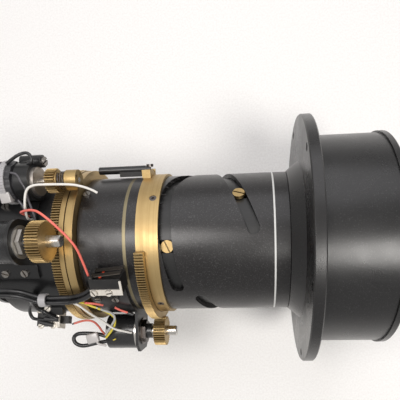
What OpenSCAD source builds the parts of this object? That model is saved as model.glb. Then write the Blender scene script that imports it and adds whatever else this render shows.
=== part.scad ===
// Motorised zoom lens for a thermal camera.
// The optical axis runs along +X towards the scene, and X is zero at the rear face of the mounting flange.
// Angles about the axis are counted from +Y towards +Z.

/* [Barrel] */
// Outer radius of the cam sleeve and of the rear barrel
barrel_r = 42; // [38:0.5:44]
// Wall of the rotating cam sleeve
sleeve_wall = 2.5; // [2:0.1:3]
// Wall of the fixed guide tube
guide_wall = 2.5; // [2:0.1:3]
// Front end of the cam sleeve, measured back from the flange
sleeve_front = 7.5; // [7.4:0.1:9]
// Length of the rear barrel
rear_barrel_len = 25.5; // [25:0.1:26]
// Reach of the guide tube behind the focus ring
guide_tail = 2.8; // [2:0.1:3]
// Running clearance between turning and sliding pieces
running_gap = 0.3; // [0.25:0.05:0.4]
// Fitted clearance between pieces that are fixed together
fit_gap = 0.05; // [0.02:0.01:0.08]
// Clearance of a shaft in its bush
shaft_gap = 0.06; // [0.03:0.01:0.1]

/* [Flange and hood] */
// Radius of the mounting flange
flange_r = 74; // [72:0.5:78]
// Thickness of the mounting flange
flange_t = 6; // [5:0.5:8]
// Length of the flared hub behind the flange
flare_len = 7.2; // [6:0.1:7.3]
// Height of the hub's flare over the barrel
flare_rise = 6; // [3:0.5:8]
// Step from the guide tube's outside to the opening for the light
light_step = 4.2; // [3.8:0.1:8]
// Depth of the stop that the guide tube is seated on
seat_lip = 2; // [1:0.5:3]
// Number of bolt holes in the flange
bolt_count = 6; // [4:1:8]
// Distance of the bolt holes from the flange's rim
bolt_inset = 5; // [4:0.5:6]
// Diameter of a bolt hole
bolt_hole = 4.5; // [3.4:0.1:5.5]
// Height of the flange's rim over the hood
hood_step = 12; // [10.5:0.5:13]
// Length of the hood in front of the flange
hood_len = 38; // [34:0.5:44]
// Thickness of the hood's rear floor
hood_floor = 3; // [2:0.5:5]
// Edge chamfer of the flange and of the lip
edge_cut = 0.6; // [0.3:0.1:1]
// Height of the lip ring over the hood
lip_step = 1; // [0.5:0.5:3]
// Thickness of the lip ring
lip_t = 3.5; // [3:0.1:5]
// Width of the lip ring's face that holds the objective in
lip_hold = 4; // [2:0.5:5]

/* [Optics] */
// Wall of the hood outside the objective
hood_wall = 4; // [3.5:0.5:6]
// Edge thickness of the objective
objective_t = 9; // [7:0.5:12]
// Rise of the objective's front surface
objective_rise = 3.5; // [2:0.1:3.5]
// Width of the shoulder that the objective is seated on
objective_seat = 2; // [1:0.5:3]
// Length of a sliding lens cell
cell_len = 8; // [7:0.1:8.2]
// Wall of a sliding lens cell
cell_wall = 3; // [2.5:0.1:4]
// Edge thickness of a cell's lens
cell_lens_t = 4.5; // [3:0.1:5]
// Rise of a cell lens's front surface
cell_lens_rise = 1.2; // [0.5:0.1:1.4]
// Width of the shoulder in a lens cell
cell_seat = 1.5; // [1:0.1:2]
// Length of the focus cell
focus_cell_len = 15; // [12:0.5:16]
// Depth of the focus cell in the guide tube
focus_cell_in = 9; // [8:0.5:11]
// Edge thickness of the focus lens
focus_lens_t = 8; // [6:0.5:9]

/* [Cam slots] */
// Width of a cam slot
slot_w = 7; // [6:0.1:7.5]
// Side clearance of a follower in its slot
follower_gap = 0.15; // [0.1:0.01:0.2]
// Travel of the front cell for each radian of zoom ring
front_cam_lead = 15; // [12:0.5:16]
// Front follower's place, measured back from the flange
front_follower_back = 34.9; // [34:0.1:36]
// Lowest point of the rear cam, measured back from the flange
rear_dip_back = 75.7; // [75:0.1:76]
// Rise of the rear cam towards its lower end
rear_low_rise = 5.4; // [4:0.1:6]
// Rise of the rear cam towards its upper end
rear_high_rise = 12.7; // [11:0.1:14]
// Diameter of a follower's pin
follower_pin = 4; // [3:0.1:4.5]
// Depth of a screwdriver slot
driver_depth = 0.7; // [0.4:0.1:1]
// Width of a screwdriver slot
driver_w = 0.8; // [0.5:0.1:1]
// Depth of a front follower's head below the sleeve's outside
front_head_drop = 0.2; // [0.1:0.05:0.5]
// Depth of a rear follower's head below the sleeve's bore
rear_head_drop = 0.4; // [0.35:0.05:0.5]
// Height of a rear follower's head
rear_head_t = 1.5; // [1.2:0.1:1.6]
// Depth of a follower's pin in its cell
pin_depth = 2; // [1:0.5:2.5]

/* [Zoom ring] */
// Radial thickness of the brass zoom ring
zoom_ring_wall = 1.5; // [1:0.1:2]
// Rear end of the zoom ring, measured back from the flange
zoom_ring_back = 91; // [90:0.1:92]
// Width of the zoom ring
zoom_ring_w = 12.4; // [11:0.1:13]
// Width of its toothed sector
sector_w = 5; // [4:0.1:6]
// Module of every gear
gear_module = 0.5; // [0.48:0.01:0.52]
// Thinning of each tooth flank
flank_thin = 0.07; // [0.06:0.01:0.09]
// Height of the zoom ring's pitch circle over the barrel
zoom_pitch_rise = 5.75; // [5.25:0.25:6]
// Diameter of a set screw in a ring
set_screw_d = 4; // [3:0.1:4.5]
// Diameter of its hexagon socket
set_socket = 2; // [1.5:0.1:2.2]
// Depth that a set screw lies below the ring's surface
set_screw_drop = 0.3; // [0.1:0.1:0.5]
// Length of a set screw
set_screw_len = 1.1; // [1:0.05:1.15]

/* [Striker] */
// Diameter of the striker rod
rod_d = 4.6; // [4:0.1:4.8]
// Height of the striker rod's axis over the barrel
rod_rise = 4.9; // [4.7:0.1:5.5]
// Reach of the striker rod behind the zoom ring
rod_out = 30.3; // [27:0.1:31]
// Reach of the striker rod in front of the zoom ring's rear
rod_in = 1.7; // [1:0.1:3]
// Height of the striker's flat over its axis
rod_flat_rise = 1.4; // [1.1:0.1:1.7]
// Length of the brass boss along the axis
boss_len = 5; // [4.5:0.1:5.5]
// How far the striker's boss stands out behind the zoom ring
boss_out = 1; // [0.5:0.1:1.5]
// Reach of the boss from the rod's axis towards the near side
boss_w = 11; // [8:0.1:12]
// Reach of the boss from the rod's axis towards the far side
boss_side = 3.5; // [3:0.1:5]
// Diameter of the boss screw's head
boss_screw_head = 4.2; // [3:0.1:4.4]
// Height of the boss screw's head
boss_screw_h = 1.6; // [1.2:0.1:2]
// Reach of the striker's web behind the zoom ring
web_out = 17.3; // [14:0.1:20]
// Width of the rod's lower web
web_w = 4; // [3:0.1:5]
// Clearance of the web over the barrel
web_gap = 0.8; // [0.5:0.1:1]

/* [Rear barrel] */
// Width of the brass spacer ring
spacer_w = 1.8; // [1:0.1:2.5]
// Width of the thrust collar
thrust_collar_w = 5.7; // [5:0.1:6]
// Depth of the focus ring's journal in the rear barrel
journal_step = 1; // [0.8:0.1:1.4]
// Diameter of a pan screw's head
pan_head = 4.2; // [3.5:0.1:4.4]
// Height of a pan screw's head
pan_head_h = 1.4; // [1:0.1:1.6]
// Margin between a pan screw and the barrel's shoulder
pan_margin = 0.6; // [0.3:0.1:2]

/* [Focus ring] */
// Height of the focus ring's pitch circle over the barrel
focus_pitch_rise = 5.5; // [5:0.25:6]
// Width of the focus ring's teeth
focus_teeth_w = 4.9; // [4:0.1:5.5]
// Gap between the rear barrel and the focus ring
focus_ring_gap = 0.4; // [0.3:0.1:0.6]
// Width of the smooth rim
rim_w = 2.7; // [2:0.1:3]
// Width of the groove
groove_w = 0.5; // [0.3:0.1:0.8]
// Depth of the groove
groove_d = 0.7; // [0.4:0.1:1]
// Depth of the focus ring's collar under its rim
collar_drop = 0.3; // [0.1:0.1:1]
// Width of the collar
collar_w = 4.4; // [4:0.1:4.6]

/* [Rear housing] */
// Height of the rear housing over the barrel
housing_step = 1; // [0.6:0.1:1.2]
// Length of the rear housing
housing_len = 34.5; // [32:0.5:40]
// Thickness of the rear cover
cover_t = 3; // [2:0.5:4]
// Radius of the neck
neck_r = 30; // [28:0.5:32]
// Length of the neck
neck_len = 11; // [9:0.5:14]
// Radius of the rear flange
rear_flange_r = 37; // [36:0.5:40]
// Thickness of the rear flange
rear_flange_t = 3; // [2.5:0.5:4]
// Diameter of the circle that the rear holes lie on
rear_circle = 67; // [66:0.5:68]
// Diameter of a rear hole
rear_hole = 3.2; // [2.7:0.1:3.4]
// Number of rear holes
rear_count = 4; // [3:1:6]
// Radius of the rear light path
rear_light_r = 20; // [18:0.5:21]
// Radius of the rear lens
rear_lens_r = 23; // [22:0.5:24]
// Thickness of the rear lens
rear_lens_t = 4; // [3:0.1:5]
// Thickness of the ring that holds the rear lens in
rear_keeper_t = 1.5; // [1:0.1:2]

/* [Potentiometers] */
// Diameter of a potentiometer's body
pot_d = 22.2; // [20:0.1:22.4]
// Length of a potentiometer's body
pot_len = 19.6; // [16:0.1:20]
// Diameter of its shaft
pot_shaft = 6.35; // [6:0.01:6.4]
// Diameter of its threaded bush
pot_bush = 9.5; // [9:0.1:10]
// Distance across the flats of its nut
nut_flats = 12.7; // [12:0.1:13]
// Thickness of its nut
nut_t = 2.4; // [2:0.1:3]
// Thickness of the washer under the nut
washer_t = 0.6; // [0.5:0.1:1]
// Length of the bush in front of the body
pot_bush_len = 8; // [6:0.1:8.2]
// Depth of the shaft in the body
pot_shaft_depth = 3; // [2:0.1:5]
// Bevel of the shaft's end
shaft_bevel = 0.5; // [0.3:0.1:0.8]
// Width of a solder tab
pot_tab_w = 2; // [1.5:0.1:2.5]
// Length of a solder tab
pot_tab_len = 4; // [3:0.1:5]
// Thickness of a solder tab
pot_tab_t = 0.8; // [0.5:0.1:1]
// Thickness of its bright front rim
pot_rim_t = 1.4; // [1:0.1:2]
// Number of teeth on the focus potentiometer's pinion
focus_pot_teeth = 42; // [41:1:43]
// Number of teeth on the zoom potentiometer's pinion
zoom_pot_teeth = 35; // [34:1:36]
// Width of the focus potentiometer's pinion
focus_pinion_w = 6.9; // [6:0.1:6.9]
// Width of the zoom potentiometer's pinion
zoom_pinion_w = 7.3; // [6:0.1:7.5]
// How far the focus pinion's teeth stand out behind the ring's
focus_pinion_out = 2.3; // [1.5:0.1:2.5]
// How far the zoom pinion's teeth stand out behind the ring's
zoom_pinion_out = 0.5; // [0.3:0.1:0.8]
// Reach of the focus potentiometer's shaft from its pinion's rear
focus_shaft_out = 14.2; // [13:0.1:15]
// Reach of the zoom potentiometer's shaft from its pinion's rear
zoom_shaft_out = 13.9; // [12.5:0.1:15]
// Gap between the focus pinion and its bracket
focus_bracket_gap = 7.7; // [7.5:0.1:8.5]
// Gap between the zoom pinion and its bracket
zoom_bracket_gap = 8.5; // [8:0.1:9]
// Thickness of a bracket's upright plate
bracket_t = 1.8; // [1.5:0.1:2.2]
// Thickness of a bracket's saddle on its barrel
saddle_t = 1.8; // [1.5:0.1:1.9]
// Width of a bracket's upright plate
bracket_w = 24; // [22.5:0.5:25]
// Corner cut of the zoom potentiometer's bracket
bracket_cut = 5; // [3:0.5:7]
// Length of the focus potentiometer's saddle behind its upright
focus_saddle_len = 21; // [18:0.5:22]
// Length of the zoom potentiometer's saddle behind its upright
zoom_saddle_len = 20; // [18:0.5:21]
// Distance of a saddle's first screws from its front
screw_front = 7.5; // [5:0.5:9]
// Distance of a saddle's last screws from its rear
screw_rear = 4; // [3:0.5:5]

/* [Focus motor and clutch] */
// Diameter of the focus motor
focus_motor_d = 18; // [17:0.1:18.2]
// Length of the focus motor
focus_motor_len = 34; // [28:0.5:40]
// Gap between the clutch pinion and the motor's body
motor_gap = 7.2; // [6.7:0.1:7.7]
// Diameter of the motor's bright face
motor_face_d = 16; // [12:0.5:18]
// Thickness of the motor's bright face
motor_face_t = 2; // [1:0.1:3]
// Room round the motor's face
face_gap = 0.3; // [0.2:0.1:0.5]
// Diameter of a motor shaft
motor_shaft = 3; // [2.5:0.1:3.2]
// Depth of a motor shaft in its body
shaft_depth = 4; // [3:0.5:6]
// Length of a motor's clamp
clamp_len = 8; // [6:0.5:10]
// Wall of a motor's clamp
clamp_wall = 1.5; // [1:0.1:1.6]
// Thickness of a clamp's foot on the barrel
clamp_foot_t = 1.5; // [1.2:0.1:1.6]
// Reach of a clamp's web past the motor's axis
clamp_web_w = 2.8; // [1:0.1:3]
// Radius of the clamp lug
lug_r = 3.6; // [3:0.1:4]
// Length of the clamp lug
lug_len = 12; // [9:0.1:12.5]
// Diameter of the lug's screw
lug_screw = 5; // [4:0.1:6]
// Distance of the lug from the motor's axis
lug_rise = 11; // [10.6:0.1:11.5]
// Number of teeth on a motor pinion
motor_teeth = 25; // [24:1:26]
// How far the clutch pinion's teeth stand out behind the ring's
clutch_out = 2.1; // [1.8:0.1:2.4]
// Width of the clutch pinion's teeth
clutch_teeth_w = 5.4; // [5.2:0.1:5.5]
// Radius of the clutch pinion's rim
clutch_rim_r = 5.5; // [5:0.1:5.6]
// Thickness of the clutch pinion's rim
clutch_rim_t = 0.8; // [0.5:0.1:1]
// Length of the clutch spring
spring_len = 4.7; // [4.6:0.1:5]
// Diameter of the spring's wire
spring_wire = 0.85; // [0.8:0.05:0.9]
// Gap between the spring's ends and what they press on
spring_end_gap = 0.1; // [0.05:0.05:0.2]
// Mean radius of the spring
spring_r = 4.6; // [4.5:0.1:4.8]
// Radius of the clutch hub inside the spring
hub_r = 3.6; // [3.4:0.1:3.7]
// Radius of the clutch collar
clutch_collar_r = 5.6; // [5:0.1:5.6]
// Length of the clutch collar
clutch_collar_len = 6.3; // [5:0.1:6.4]
// Diameter of the small holes in the collar's face
collar_hole = 1.6; // [1:0.1:2]
// Depth of those holes
collar_hole_depth = 1.5; // [1:0.1:3]

/* [Zoom motor] */
// Diameter of the zoom motor
zoom_motor_d = 16; // [14:0.1:17]
// Length of the zoom motor
zoom_motor_len = 25; // [20:0.5:25]
// Gap between the zoom ring and its motor
zoom_motor_gap = 8; // [7.9:0.1:9]
// Width of the zoom motor's pinion
zoom_drive_w = 6; // [5.5:0.1:6.5]

/* [Limit switches] */
// Length of a switch body
switch_len = 17; // [15:0.1:18]
// Depth of a switch body across the barrel
switch_depth = 9.4; // [8:0.1:10]
// Thickness of a switch body
switch_t = 5.8; // [5:0.1:6]
// Gap between the zoom ring and the limit switches
switch_gap = 6.4; // [6:0.1:7]
// Height of the limit switches' seat over the barrel
switch_rise = 2.2; // [2:0.1:2.6]
// Length of the pad that the switches are seated on
switch_pad_len = 12.5; // [10:0.5:13]
// Reach of the pad past the switches' lower side
switch_pad_side = 2.5; // [1:0.1:4]
// Diameter of a switch plunger
plunger_d = 1.6; // [1.2:0.1:2]
// Height of a switch plunger above its body
plunger_h = 1; // [0.9:0.1:1.2]
// Travel of a switch plunger
plunger_travel = 0.5; // [0.3:0.1:0.6]
// Depth of a plunger's hole
plunger_depth = 2; // [1.5:0.1:3]
// Thickness of a switch lever
lever_t = 0.4; // [0.3:0.05:0.5]
// Width of a switch lever
lever_w = 3.6; // [3:0.1:4]
// Length of a switch lever
lever_len = 16.4; // [14:0.1:17]
// Diameter of the pin that a lever turns on
lever_pin = 1; // [0.8:0.1:1.1]
// Height of the lever's pin above the switch body
lever_pin_rise = 0.9; // [0.8:0.1:1.2]
// Distance of the lever's pin from the body's end
lever_pin_in = 1.2; // [1:0.1:1.5]
// Thickness of the ears that hold the pin
ear_t = 0.8; // [0.6:0.1:0.9]
// Distance of the plunger from the lever's pin
lever_arm = 4.4; // [4:0.1:5]
// Thickness of the bright strip on the switches
strip_t = 0.6; // [0.4:0.1:0.8]
// Length of the strip's bent tab
tab_len = 5; // [3:0.5:6]
// Spacing of the switch screws
switch_screw_pitch = 8.2; // [7:0.1:8.5]
// Distance of the first switch screw from the body's end
switch_screw_in = 2.1; // [2:0.1:3]
// Distance of the switch screws below the body's middle
switch_screw_y = 2.9; // [2:0.1:3]
// Diameter of a switch screw
switch_screw_d = 2; // [1.6:0.1:2.2]
// Diameter of a switch screw's head
switch_screw_head = 3.4; // [3:0.1:3.6]
// Height of a switch screw's head
switch_screw_h = 1.1; // [0.8:0.1:1.5]
// Size of the end switch across its body
end_switch_w = 8; // [7:0.1:9]
// Height of the end switch's seat over the housing
end_rise = 1.5; // [1.2:0.1:2]
// Length of the end switch
end_switch_len = 13; // [11:0.1:14]
// Gap between the focus ring and the end switch
end_switch_gap = 13.2; // [12.8:0.1:14]
// Size of the end switch's square plunger
end_plunger_w = 4.6; // [4:0.1:5]
// Depth of the end switch's hole for its plunger
end_plunger_depth = 4; // [3:0.1:6]
// Length of the end switch's plunger
end_plunger_len = 5.4; // [5:0.1:6]
// Travel of the end switch's plunger
end_plunger_travel = 1.5; // [1:0.1:2]
// Thickness of the end switch's bracket
end_bracket_t = 1.2; // [1:0.1:1.5]

/* [Wiring] */
// Diameter of a single lead
lead_d = 1.3; // [1:0.1:1.5]
// Diameter of a black cable
cable_d = 2.5; // [2:0.1:2.8]
// Distance of each cable from the middle of the bundle
bundle_r = 1.6; // [1.5:0.1:1.8]
// Height of the cable bundle's axis over the barrel at its clip
bundle_rise = 9.4; // [9:0.1:10]
// Gap between the focus ring and the cable clip
clip_gap = 9.8; // [8:0.1:11]
// Width of the cable clip's band
clip_w = 4; // [3:0.1:5]
// Thickness of the cable clip's band
clip_t = 0.9; // [0.6:0.1:1.2]

/* [Hidden] */
$fn = 96;

// Overrun of a cut past the surface that it opens
overrun = 1;
// Facets of a small round hole or pin
small_fn = 32;
// Sides of a wire
wire_sides = 8;
// Straight steps of a cam
cam_steps = 14;
// Straight steps of a lens's dome
lens_steps = 10;

// Angles about the axis, from +Y towards +Z
focus_pot_angle = 91.2;
zoom_pot_angle = 182;
focus_motor_angle = 51.4;
zoom_motor_angle = 270;
front_follower_angle = 53.3;
rear_follower_angle = 96.4;
front_slot_start = -35;
front_slot_end = 84.2;
rear_slot_start = 11;
rear_dip_angle = 66;
rear_slot_end = 130;
sector_start = 99.3;
sector_end = 305;
striker_angle = 16;
ring_screw_angle = 58.2;
bolt_angle = 172.3;
switch_angle = 117.5;
switch_saddle_low = 5;
saddle_screw_angle = 139;
barrel_screw_angle = 50.8;
focus_saddle_low = 32;
focus_saddle_high = 26;
focus_screw_low = 27.7;
focus_screw_high = 21.4;
zoom_saddle_high = 33;
motor_saddle_low = 24;
motor_saddle_high = 4;
lug_turn = -50;
lever_tilt = 6.5;
clip_angle = 129.5;
end_switch_angle = 168;

// Curls of the clutch spring
spring_turns = 2.75;

// Zoom ring's range in degrees, counted from the place shown
zoom_low = -30;
zoom_high = 80;

// Rear cell's travel for each radian of zoom ring, which the curved cam gives on average
rear_cam_lead = 6.2;

// Routes of the wires, drawn for a rear barrel of this radius and place
route_barrel_r = 42;
route_barrel_back = 124.3;
bundle_route = [
  [-180.5, -17, 26], [-180.5, -21, 32], [-180, -25.5, 38.5], [-177, -28.3, 42.5], [-169, -28.4, 42.8],
  [-158, -29, 42.4], [-147, -32.6, 39.7], [-136, -33, 39.4], [-127, -32.4, 39.9], [-120, -30.5, 41.4],
  [-115.2, -27.8, 43.2]
];
white_route = [
  [-148, 12, 44.2], [-147.8, 12.3, 50], [-145.7, 17.8, 56], [-143.8, 24.7, 58], [-140.5, 27.7, 58],
  [-134.5, 28.6, 56], [-122, 28.5, 54], [-115.9, 27.4, 53], [-111.4, 25.8, 51.5], [-108.7, 24.3, 50.5]
];
red_route = [
  [-150.6, 13.8, 43.2], [-149.4, 14.1, 47.5], [-149.6, 14.3, 50.5], [-148.8, 14.6, 54.5],
  [-146, 14.8, 57.5], [-142.5, 14.8, 60], [-137.9, 14.3, 63.5], [-133.2, 12.9, 66],
  [-128.1, 9.3, 66.5], [-123.5, 4.8, 65.5], [-119.4, -0.2, 63], [-116.7, -5.5, 59.5],
  [-115.8, -12.6, 54], [-115.2, -20.5, 48]
];
pot_white_route = [
  [-125.6, -36.1, 38.6], [-121.8, -41.6, 31], [-119, -45.5, 25], [-113.1, -52.2, 17], [-108.9, -54.1, 14],
  [-104.4, -56, 9.85]
];
pot_grey_route = [
  [-114.4, -38.8, 34], [-110.5, -41.7, 28], [-110.5, -45.5, 22.5], [-114.3, -50, 17.5], [-118, -54.1, 14],
  [-120.5, -57, 11.5]
];
pot_red_route = [
  [-136.9, -48.5, 20], [-130.4, -46.9, 19], [-126.2, -47.8, 17], [-124, -51, 14], [-123, -54.5, 11],
  [-122.2, -57.5, 7]
];
pot_loop_route = [
  [-122, -59, 5], [-128, -57, 7], [-138, -56.5, 8], [-141.9, -58, 8], [-142.6, -60.6, 8],
  [-140.7, -63.2, 8], [-136, -64.3, 8], [-128, -62.8, 7], [-122, -62, 5]
];

degree_arc = PI / 180;
zoom_teeth = round(2 * (barrel_r + zoom_pitch_rise) / gear_module);
focus_teeth = round(2 * (barrel_r + focus_pitch_rise) / gear_module);
journal_r = barrel_r - journal_step;
housing_r = barrel_r + housing_step;
flare_r = barrel_r + flare_rise;
bolt_circle = 2 * (flange_r - bolt_inset);
hood_r = flange_r - hood_step;
lip_r = hood_r + lip_step;
objective_r = hood_r - hood_wall;
rod_axis_r = barrel_r + rod_rise;
rod_flat_r = rod_axis_r + rod_flat_rise;
switch_seat_r = barrel_r + switch_rise;
end_seat_r = housing_r + end_rise;
bundle_axis_r = barrel_r + bundle_rise;
spacer_back = zoom_ring_back + running_gap + thrust_collar_w + spacer_w;
rear_barrel_back = spacer_back + rear_barrel_len;
focus_ring_back = rear_barrel_back + focus_ring_gap + collar_w + groove_w + rim_w + focus_teeth_w;
guide_back = focus_ring_back + guide_tail;
focus_cell_back = guide_back - focus_cell_in;
housing_back = focus_ring_back + running_gap + housing_len;
focus_pinion_back = focus_ring_back + focus_pinion_out;
focus_bracket_back = focus_pinion_back + focus_bracket_gap;
focus_shaft_front = focus_pinion_back - focus_shaft_out;
clutch_back = focus_ring_back + clutch_out;
focus_motor_front = clutch_back + motor_gap;
end_switch_front = focus_ring_back + end_switch_gap;
clip_back = focus_ring_back + clip_gap;
zoom_pinion_back = zoom_ring_back + zoom_pinion_out;
zoom_bracket_back = zoom_pinion_back + zoom_bracket_gap;
zoom_shaft_front = zoom_pinion_back - zoom_shaft_out;
zoom_motor_front = zoom_ring_back + zoom_motor_gap;
switch_front = zoom_ring_back + switch_gap;
rod_back = zoom_ring_back + rod_out;
rod_front = zoom_ring_back - rod_in;
boss_back = zoom_ring_back + boss_out;
web_back = zoom_ring_back + web_out;
sleeve_in = barrel_r - sleeve_wall;
guide_r = sleeve_in - running_gap;
guide_in = guide_r - guide_wall;
light_r = guide_r - light_step;
cell_r = guide_in - running_gap;
cell_lens_r = cell_r - cell_wall - fit_gap;
ring_bore = barrel_r + fit_gap;
zoom_ring_r = barrel_r + zoom_ring_wall;
zoom_ring_front = zoom_ring_back - zoom_ring_w;
hood_front = flange_t + hood_len;
lip_front = hood_front + lip_t;
objective_edge = objective_t - fit_gap
  - objective_rise * (1 - pow((objective_r - lip_hold) / objective_r, 2));
collar_back = zoom_ring_back + running_gap;
rear_follower_back = rear_dip_back - rear_low_rise * pow((rear_follower_angle - rear_dip_angle)
  / (rear_slot_end - rear_dip_angle), 2);
zoom_pitch_r = zoom_teeth * gear_module / 2;
focus_pitch_r = focus_teeth * gear_module / 2;
rim_r = focus_pitch_r;
collar_r = focus_pitch_r - collar_drop;
focus_pot_axis = focus_pitch_r + focus_pot_teeth * gear_module / 2;
zoom_pot_axis = zoom_pitch_r + zoom_pot_teeth * gear_module / 2;
focus_motor_axis = focus_pitch_r + motor_teeth * gear_module / 2;
zoom_motor_axis = zoom_pitch_r + motor_teeth * gear_module / 2;
cover_back = housing_back + cover_t;
mount_back = cover_back + neck_len + rear_flange_t;
front_travel_in = front_cam_lead * zoom_high * degree_arc;
front_travel_out = -front_cam_lead * zoom_low * degree_arc;
rear_travel_in = -rear_cam_lead * zoom_low * degree_arc;
rear_travel_out = rear_cam_lead * zoom_high * degree_arc;
clutch_front = clutch_back - clutch_teeth_w - clutch_rim_t - spring_len - clutch_collar_len;
switch_stack = 2 * switch_t + fit_gap;
end_axis_r = end_seat_r + end_switch_w / 2;

// Local frame of the optical axis: z runs along +X, and the angle is counted from +Y towards +Z
module on_axis() {
  rotate([90, 0, 90])
    children();
}

// Children stand at a radius and angle, with x outwards, y round the barrel and z along the axis
module at(angle, radius, back) {
  on_axis()
    rotate([0, 0, angle])
      translate([radius, 0, -back])
        children();
}

module turned(points) {
  on_axis()
    rotate_extrude()
      polygon(points);
}

module tube(outer, inner, back, front) {
  turned([[inner, -back], [outer, -back], [outer, -front], [inner, -front]]);
}

// Round bar along the axis, at the children's place
module bar(radius, length) {
  cylinder(r = radius, h = length);
}

// Pin that points outwards from the axis
module radial_pin(diameter, length) {
  rotate([0, 90, 0])
    cylinder(d = diameter, h = length, $fn = small_fn);
}

// Screw head that faces outwards, with a straight driver slot turned by an angle
module slotted_head(diameter, height, turn) {
  difference() {
    radial_pin(diameter, height);
    rotate([turn, 0, 0])
      translate([height - driver_depth, -diameter, -driver_w / 2])
        cube([driver_depth + overrun, 2 * diameter, driver_w]);
  }
}

// Outline of a gear's teeth from one tooth to another, each a straight-sided trapezium
function tooth_half(height) = PI * gear_module / 4 - flank_thin - height * tan(20);

function tooth_points(teeth, first, last) = [
  for (k = [first:last], s = [[-1, -1.2], [-1, 0.9], [1, 0.9], [1, -1.2]])
    let (
      height = s[1] * gear_module,
      radius = teeth * gear_module / 2 + height,
      angle = k * 360 / teeth + s[0] * tooth_half(height) / radius / degree_arc
    )
    [radius * cos(angle), radius * sin(angle)]
];

module gear(teeth, width) {
  linear_extrude(width)
    polygon(tooth_points(teeth, 0, teeth - 1));
}

// Turn that brings a pinion's gap onto a ring's tooth at the angle where they meet
function mesh_turn(angle, ring_teeth, pinion_teeth) =
  let (
    tooth = 360 / ring_teeth,
    past = angle - round(angle / tooth) * tooth
  )
  180 + past * ring_teeth / pinion_teeth - 180 / pinion_teeth;

// Lens with a flat back and a domed front, facing +X
module lens(radius, thickness, rise, back) {
  dome = (radius * radius + rise * rise) / (2 * rise);
  edge = asin(radius / dome);
  turned(concat(
    [[0, -back], [radius, -back]],
    [for (i = [lens_steps:-1:0])
      let (turn = edge * i / lens_steps)
        [dome * sin(turn), thickness + rise - dome * (1 - cos(turn)) - back]]
  ));
}

// Cutter along a cam in short straight steps, round at both ends
module cam_cutter(start, finish, kind) {
  inner = sleeve_in - overrun;
  depth = sleeve_wall + 2 * overrun;
  for (angle = [start, finish])
    at(angle, inner, cam_back(kind, angle))
      radial_pin(slot_w, depth);
  for (i = [0:cam_steps - 1]) {
    from = start + (finish - start) * i / cam_steps;
    to = start + (finish - start) * (i + 1) / cam_steps;
    rise = cam_back(kind, from) - cam_back(kind, to);
    run = (to - from) * degree_arc * barrel_r;
    length = norm([rise, run]);
    at((from + to) / 2, inner, (cam_back(kind, from) + cam_back(kind, to)) / 2)
      rotate([atan2(rise, run), 0, 0])
        translate([0, -length / 2, -slot_w / 2])
          cube([depth, length, slot_w]);
  }
}

// Distance of a cam's centre line back from the flange, at an angle
function cam_back(kind, angle) =
  kind == "front"
    ? front_follower_back - front_cam_lead * (angle - front_follower_angle) * degree_arc
  : angle > rear_dip_angle
    ? rear_dip_back
      - rear_low_rise * pow((angle - rear_dip_angle) / (rear_slot_end - rear_dip_angle), 2)
    : rear_dip_back
      - rear_high_rise * pow((angle - rear_dip_angle) / (rear_slot_start - rear_dip_angle), 2);

// Straight slot in the guide tube, from one distance to another
module guide_slot(angle, width, back, front) {
  at(angle, guide_in - overrun, back) {
    radial_pin(width, guide_wall + 2 * overrun);
    translate([0, -width / 2, 0])
      cube([guide_wall + 2 * overrun, width, back - front]);
    translate([0, 0, back - front])
      radial_pin(width, guide_wall + 2 * overrun);
  }
}

// Curved plate on a barrel, between two angles and two distances
module saddle(inner, thickness, start, finish, back, front) {
  on_axis()
    translate([0, 0, -back])
      rotate([0, 0, start])
        rotate_extrude(angle = finish - start)
          translate([inner, 0])
            square([thickness, back - front]);
}

// Route moved out or in with the barrel, and stretched with the rear barrel
function follow_barrel(points) = [
  for (p = points)
    let (
      r = norm([p[1], p[2]]),
      share = (r + barrel_r - route_barrel_r) / r,
      along = min(1, max(0, (-p[0] - spacer_back) / (route_barrel_back - spacer_back)))
    )
      [p[0] - along * (rear_barrel_back - route_barrel_back), p[1] * share, p[2] * share]
];

// Direction of a route at each of its points
function route_ways(points) = [
  for (i = [0:len(points) - 1])
    let (way = points[min(i + 1, len(points) - 1)] - points[max(i - 1, 0)])
      way / norm(way)
];

// Part of a side that is square to a direction
function squared(side, way) =
  let (u = side - (side * way) * way)
  u / norm(u);

// Side of a route at each point, carried along without a twist
function route_sides(ways) = [
  for (
    i = 0, side = squared([0.3, 1, 0.2], ways[0]);
    i < len(ways);
    i = i + 1, side = i < len(ways) ? squared(side, ways[i]) : side
  ) side
];

// Points beside a route, at a distance and a turn round it
function beside(points, distance, turn) =
  let (ways = route_ways(points), sides = route_sides(ways))
  [
    for (i = [0:len(points) - 1])
      points[i] + distance * (cos(turn) * sides[i] + sin(turn) * cross(ways[i], sides[i]))
  ];

function sweep_points(points, radius, sides) =
  let (rows = [for (k = [0:sides - 1]) beside(points, radius, 360 * k / sides)])
  [for (i = [0:len(points) - 1], k = [0:sides - 1]) rows[k][i]];

function sweep_faces(rings, sides) = concat(
  [for (i = [0:rings - 2], k = [0:sides - 1])
    [i * sides + k, (i + 1) * sides + k, (i + 1) * sides + (k + 1) % sides]],
  [for (i = [0:rings - 2], k = [0:sides - 1])
    [i * sides + k, (i + 1) * sides + (k + 1) % sides, i * sides + (k + 1) % sides]],
  [for (k = [1:sides - 2]) [0, k, k + 1]],
  [for (k = [1:sides - 2]) [(rings - 1) * sides, (rings - 1) * sides + k + 1, (rings - 1) * sides + k]]
);

module wire(points, diameter, sides) {
  polyhedron(sweep_points(points, diameter / 2, sides), sweep_faces(len(points), sides));
}

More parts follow.
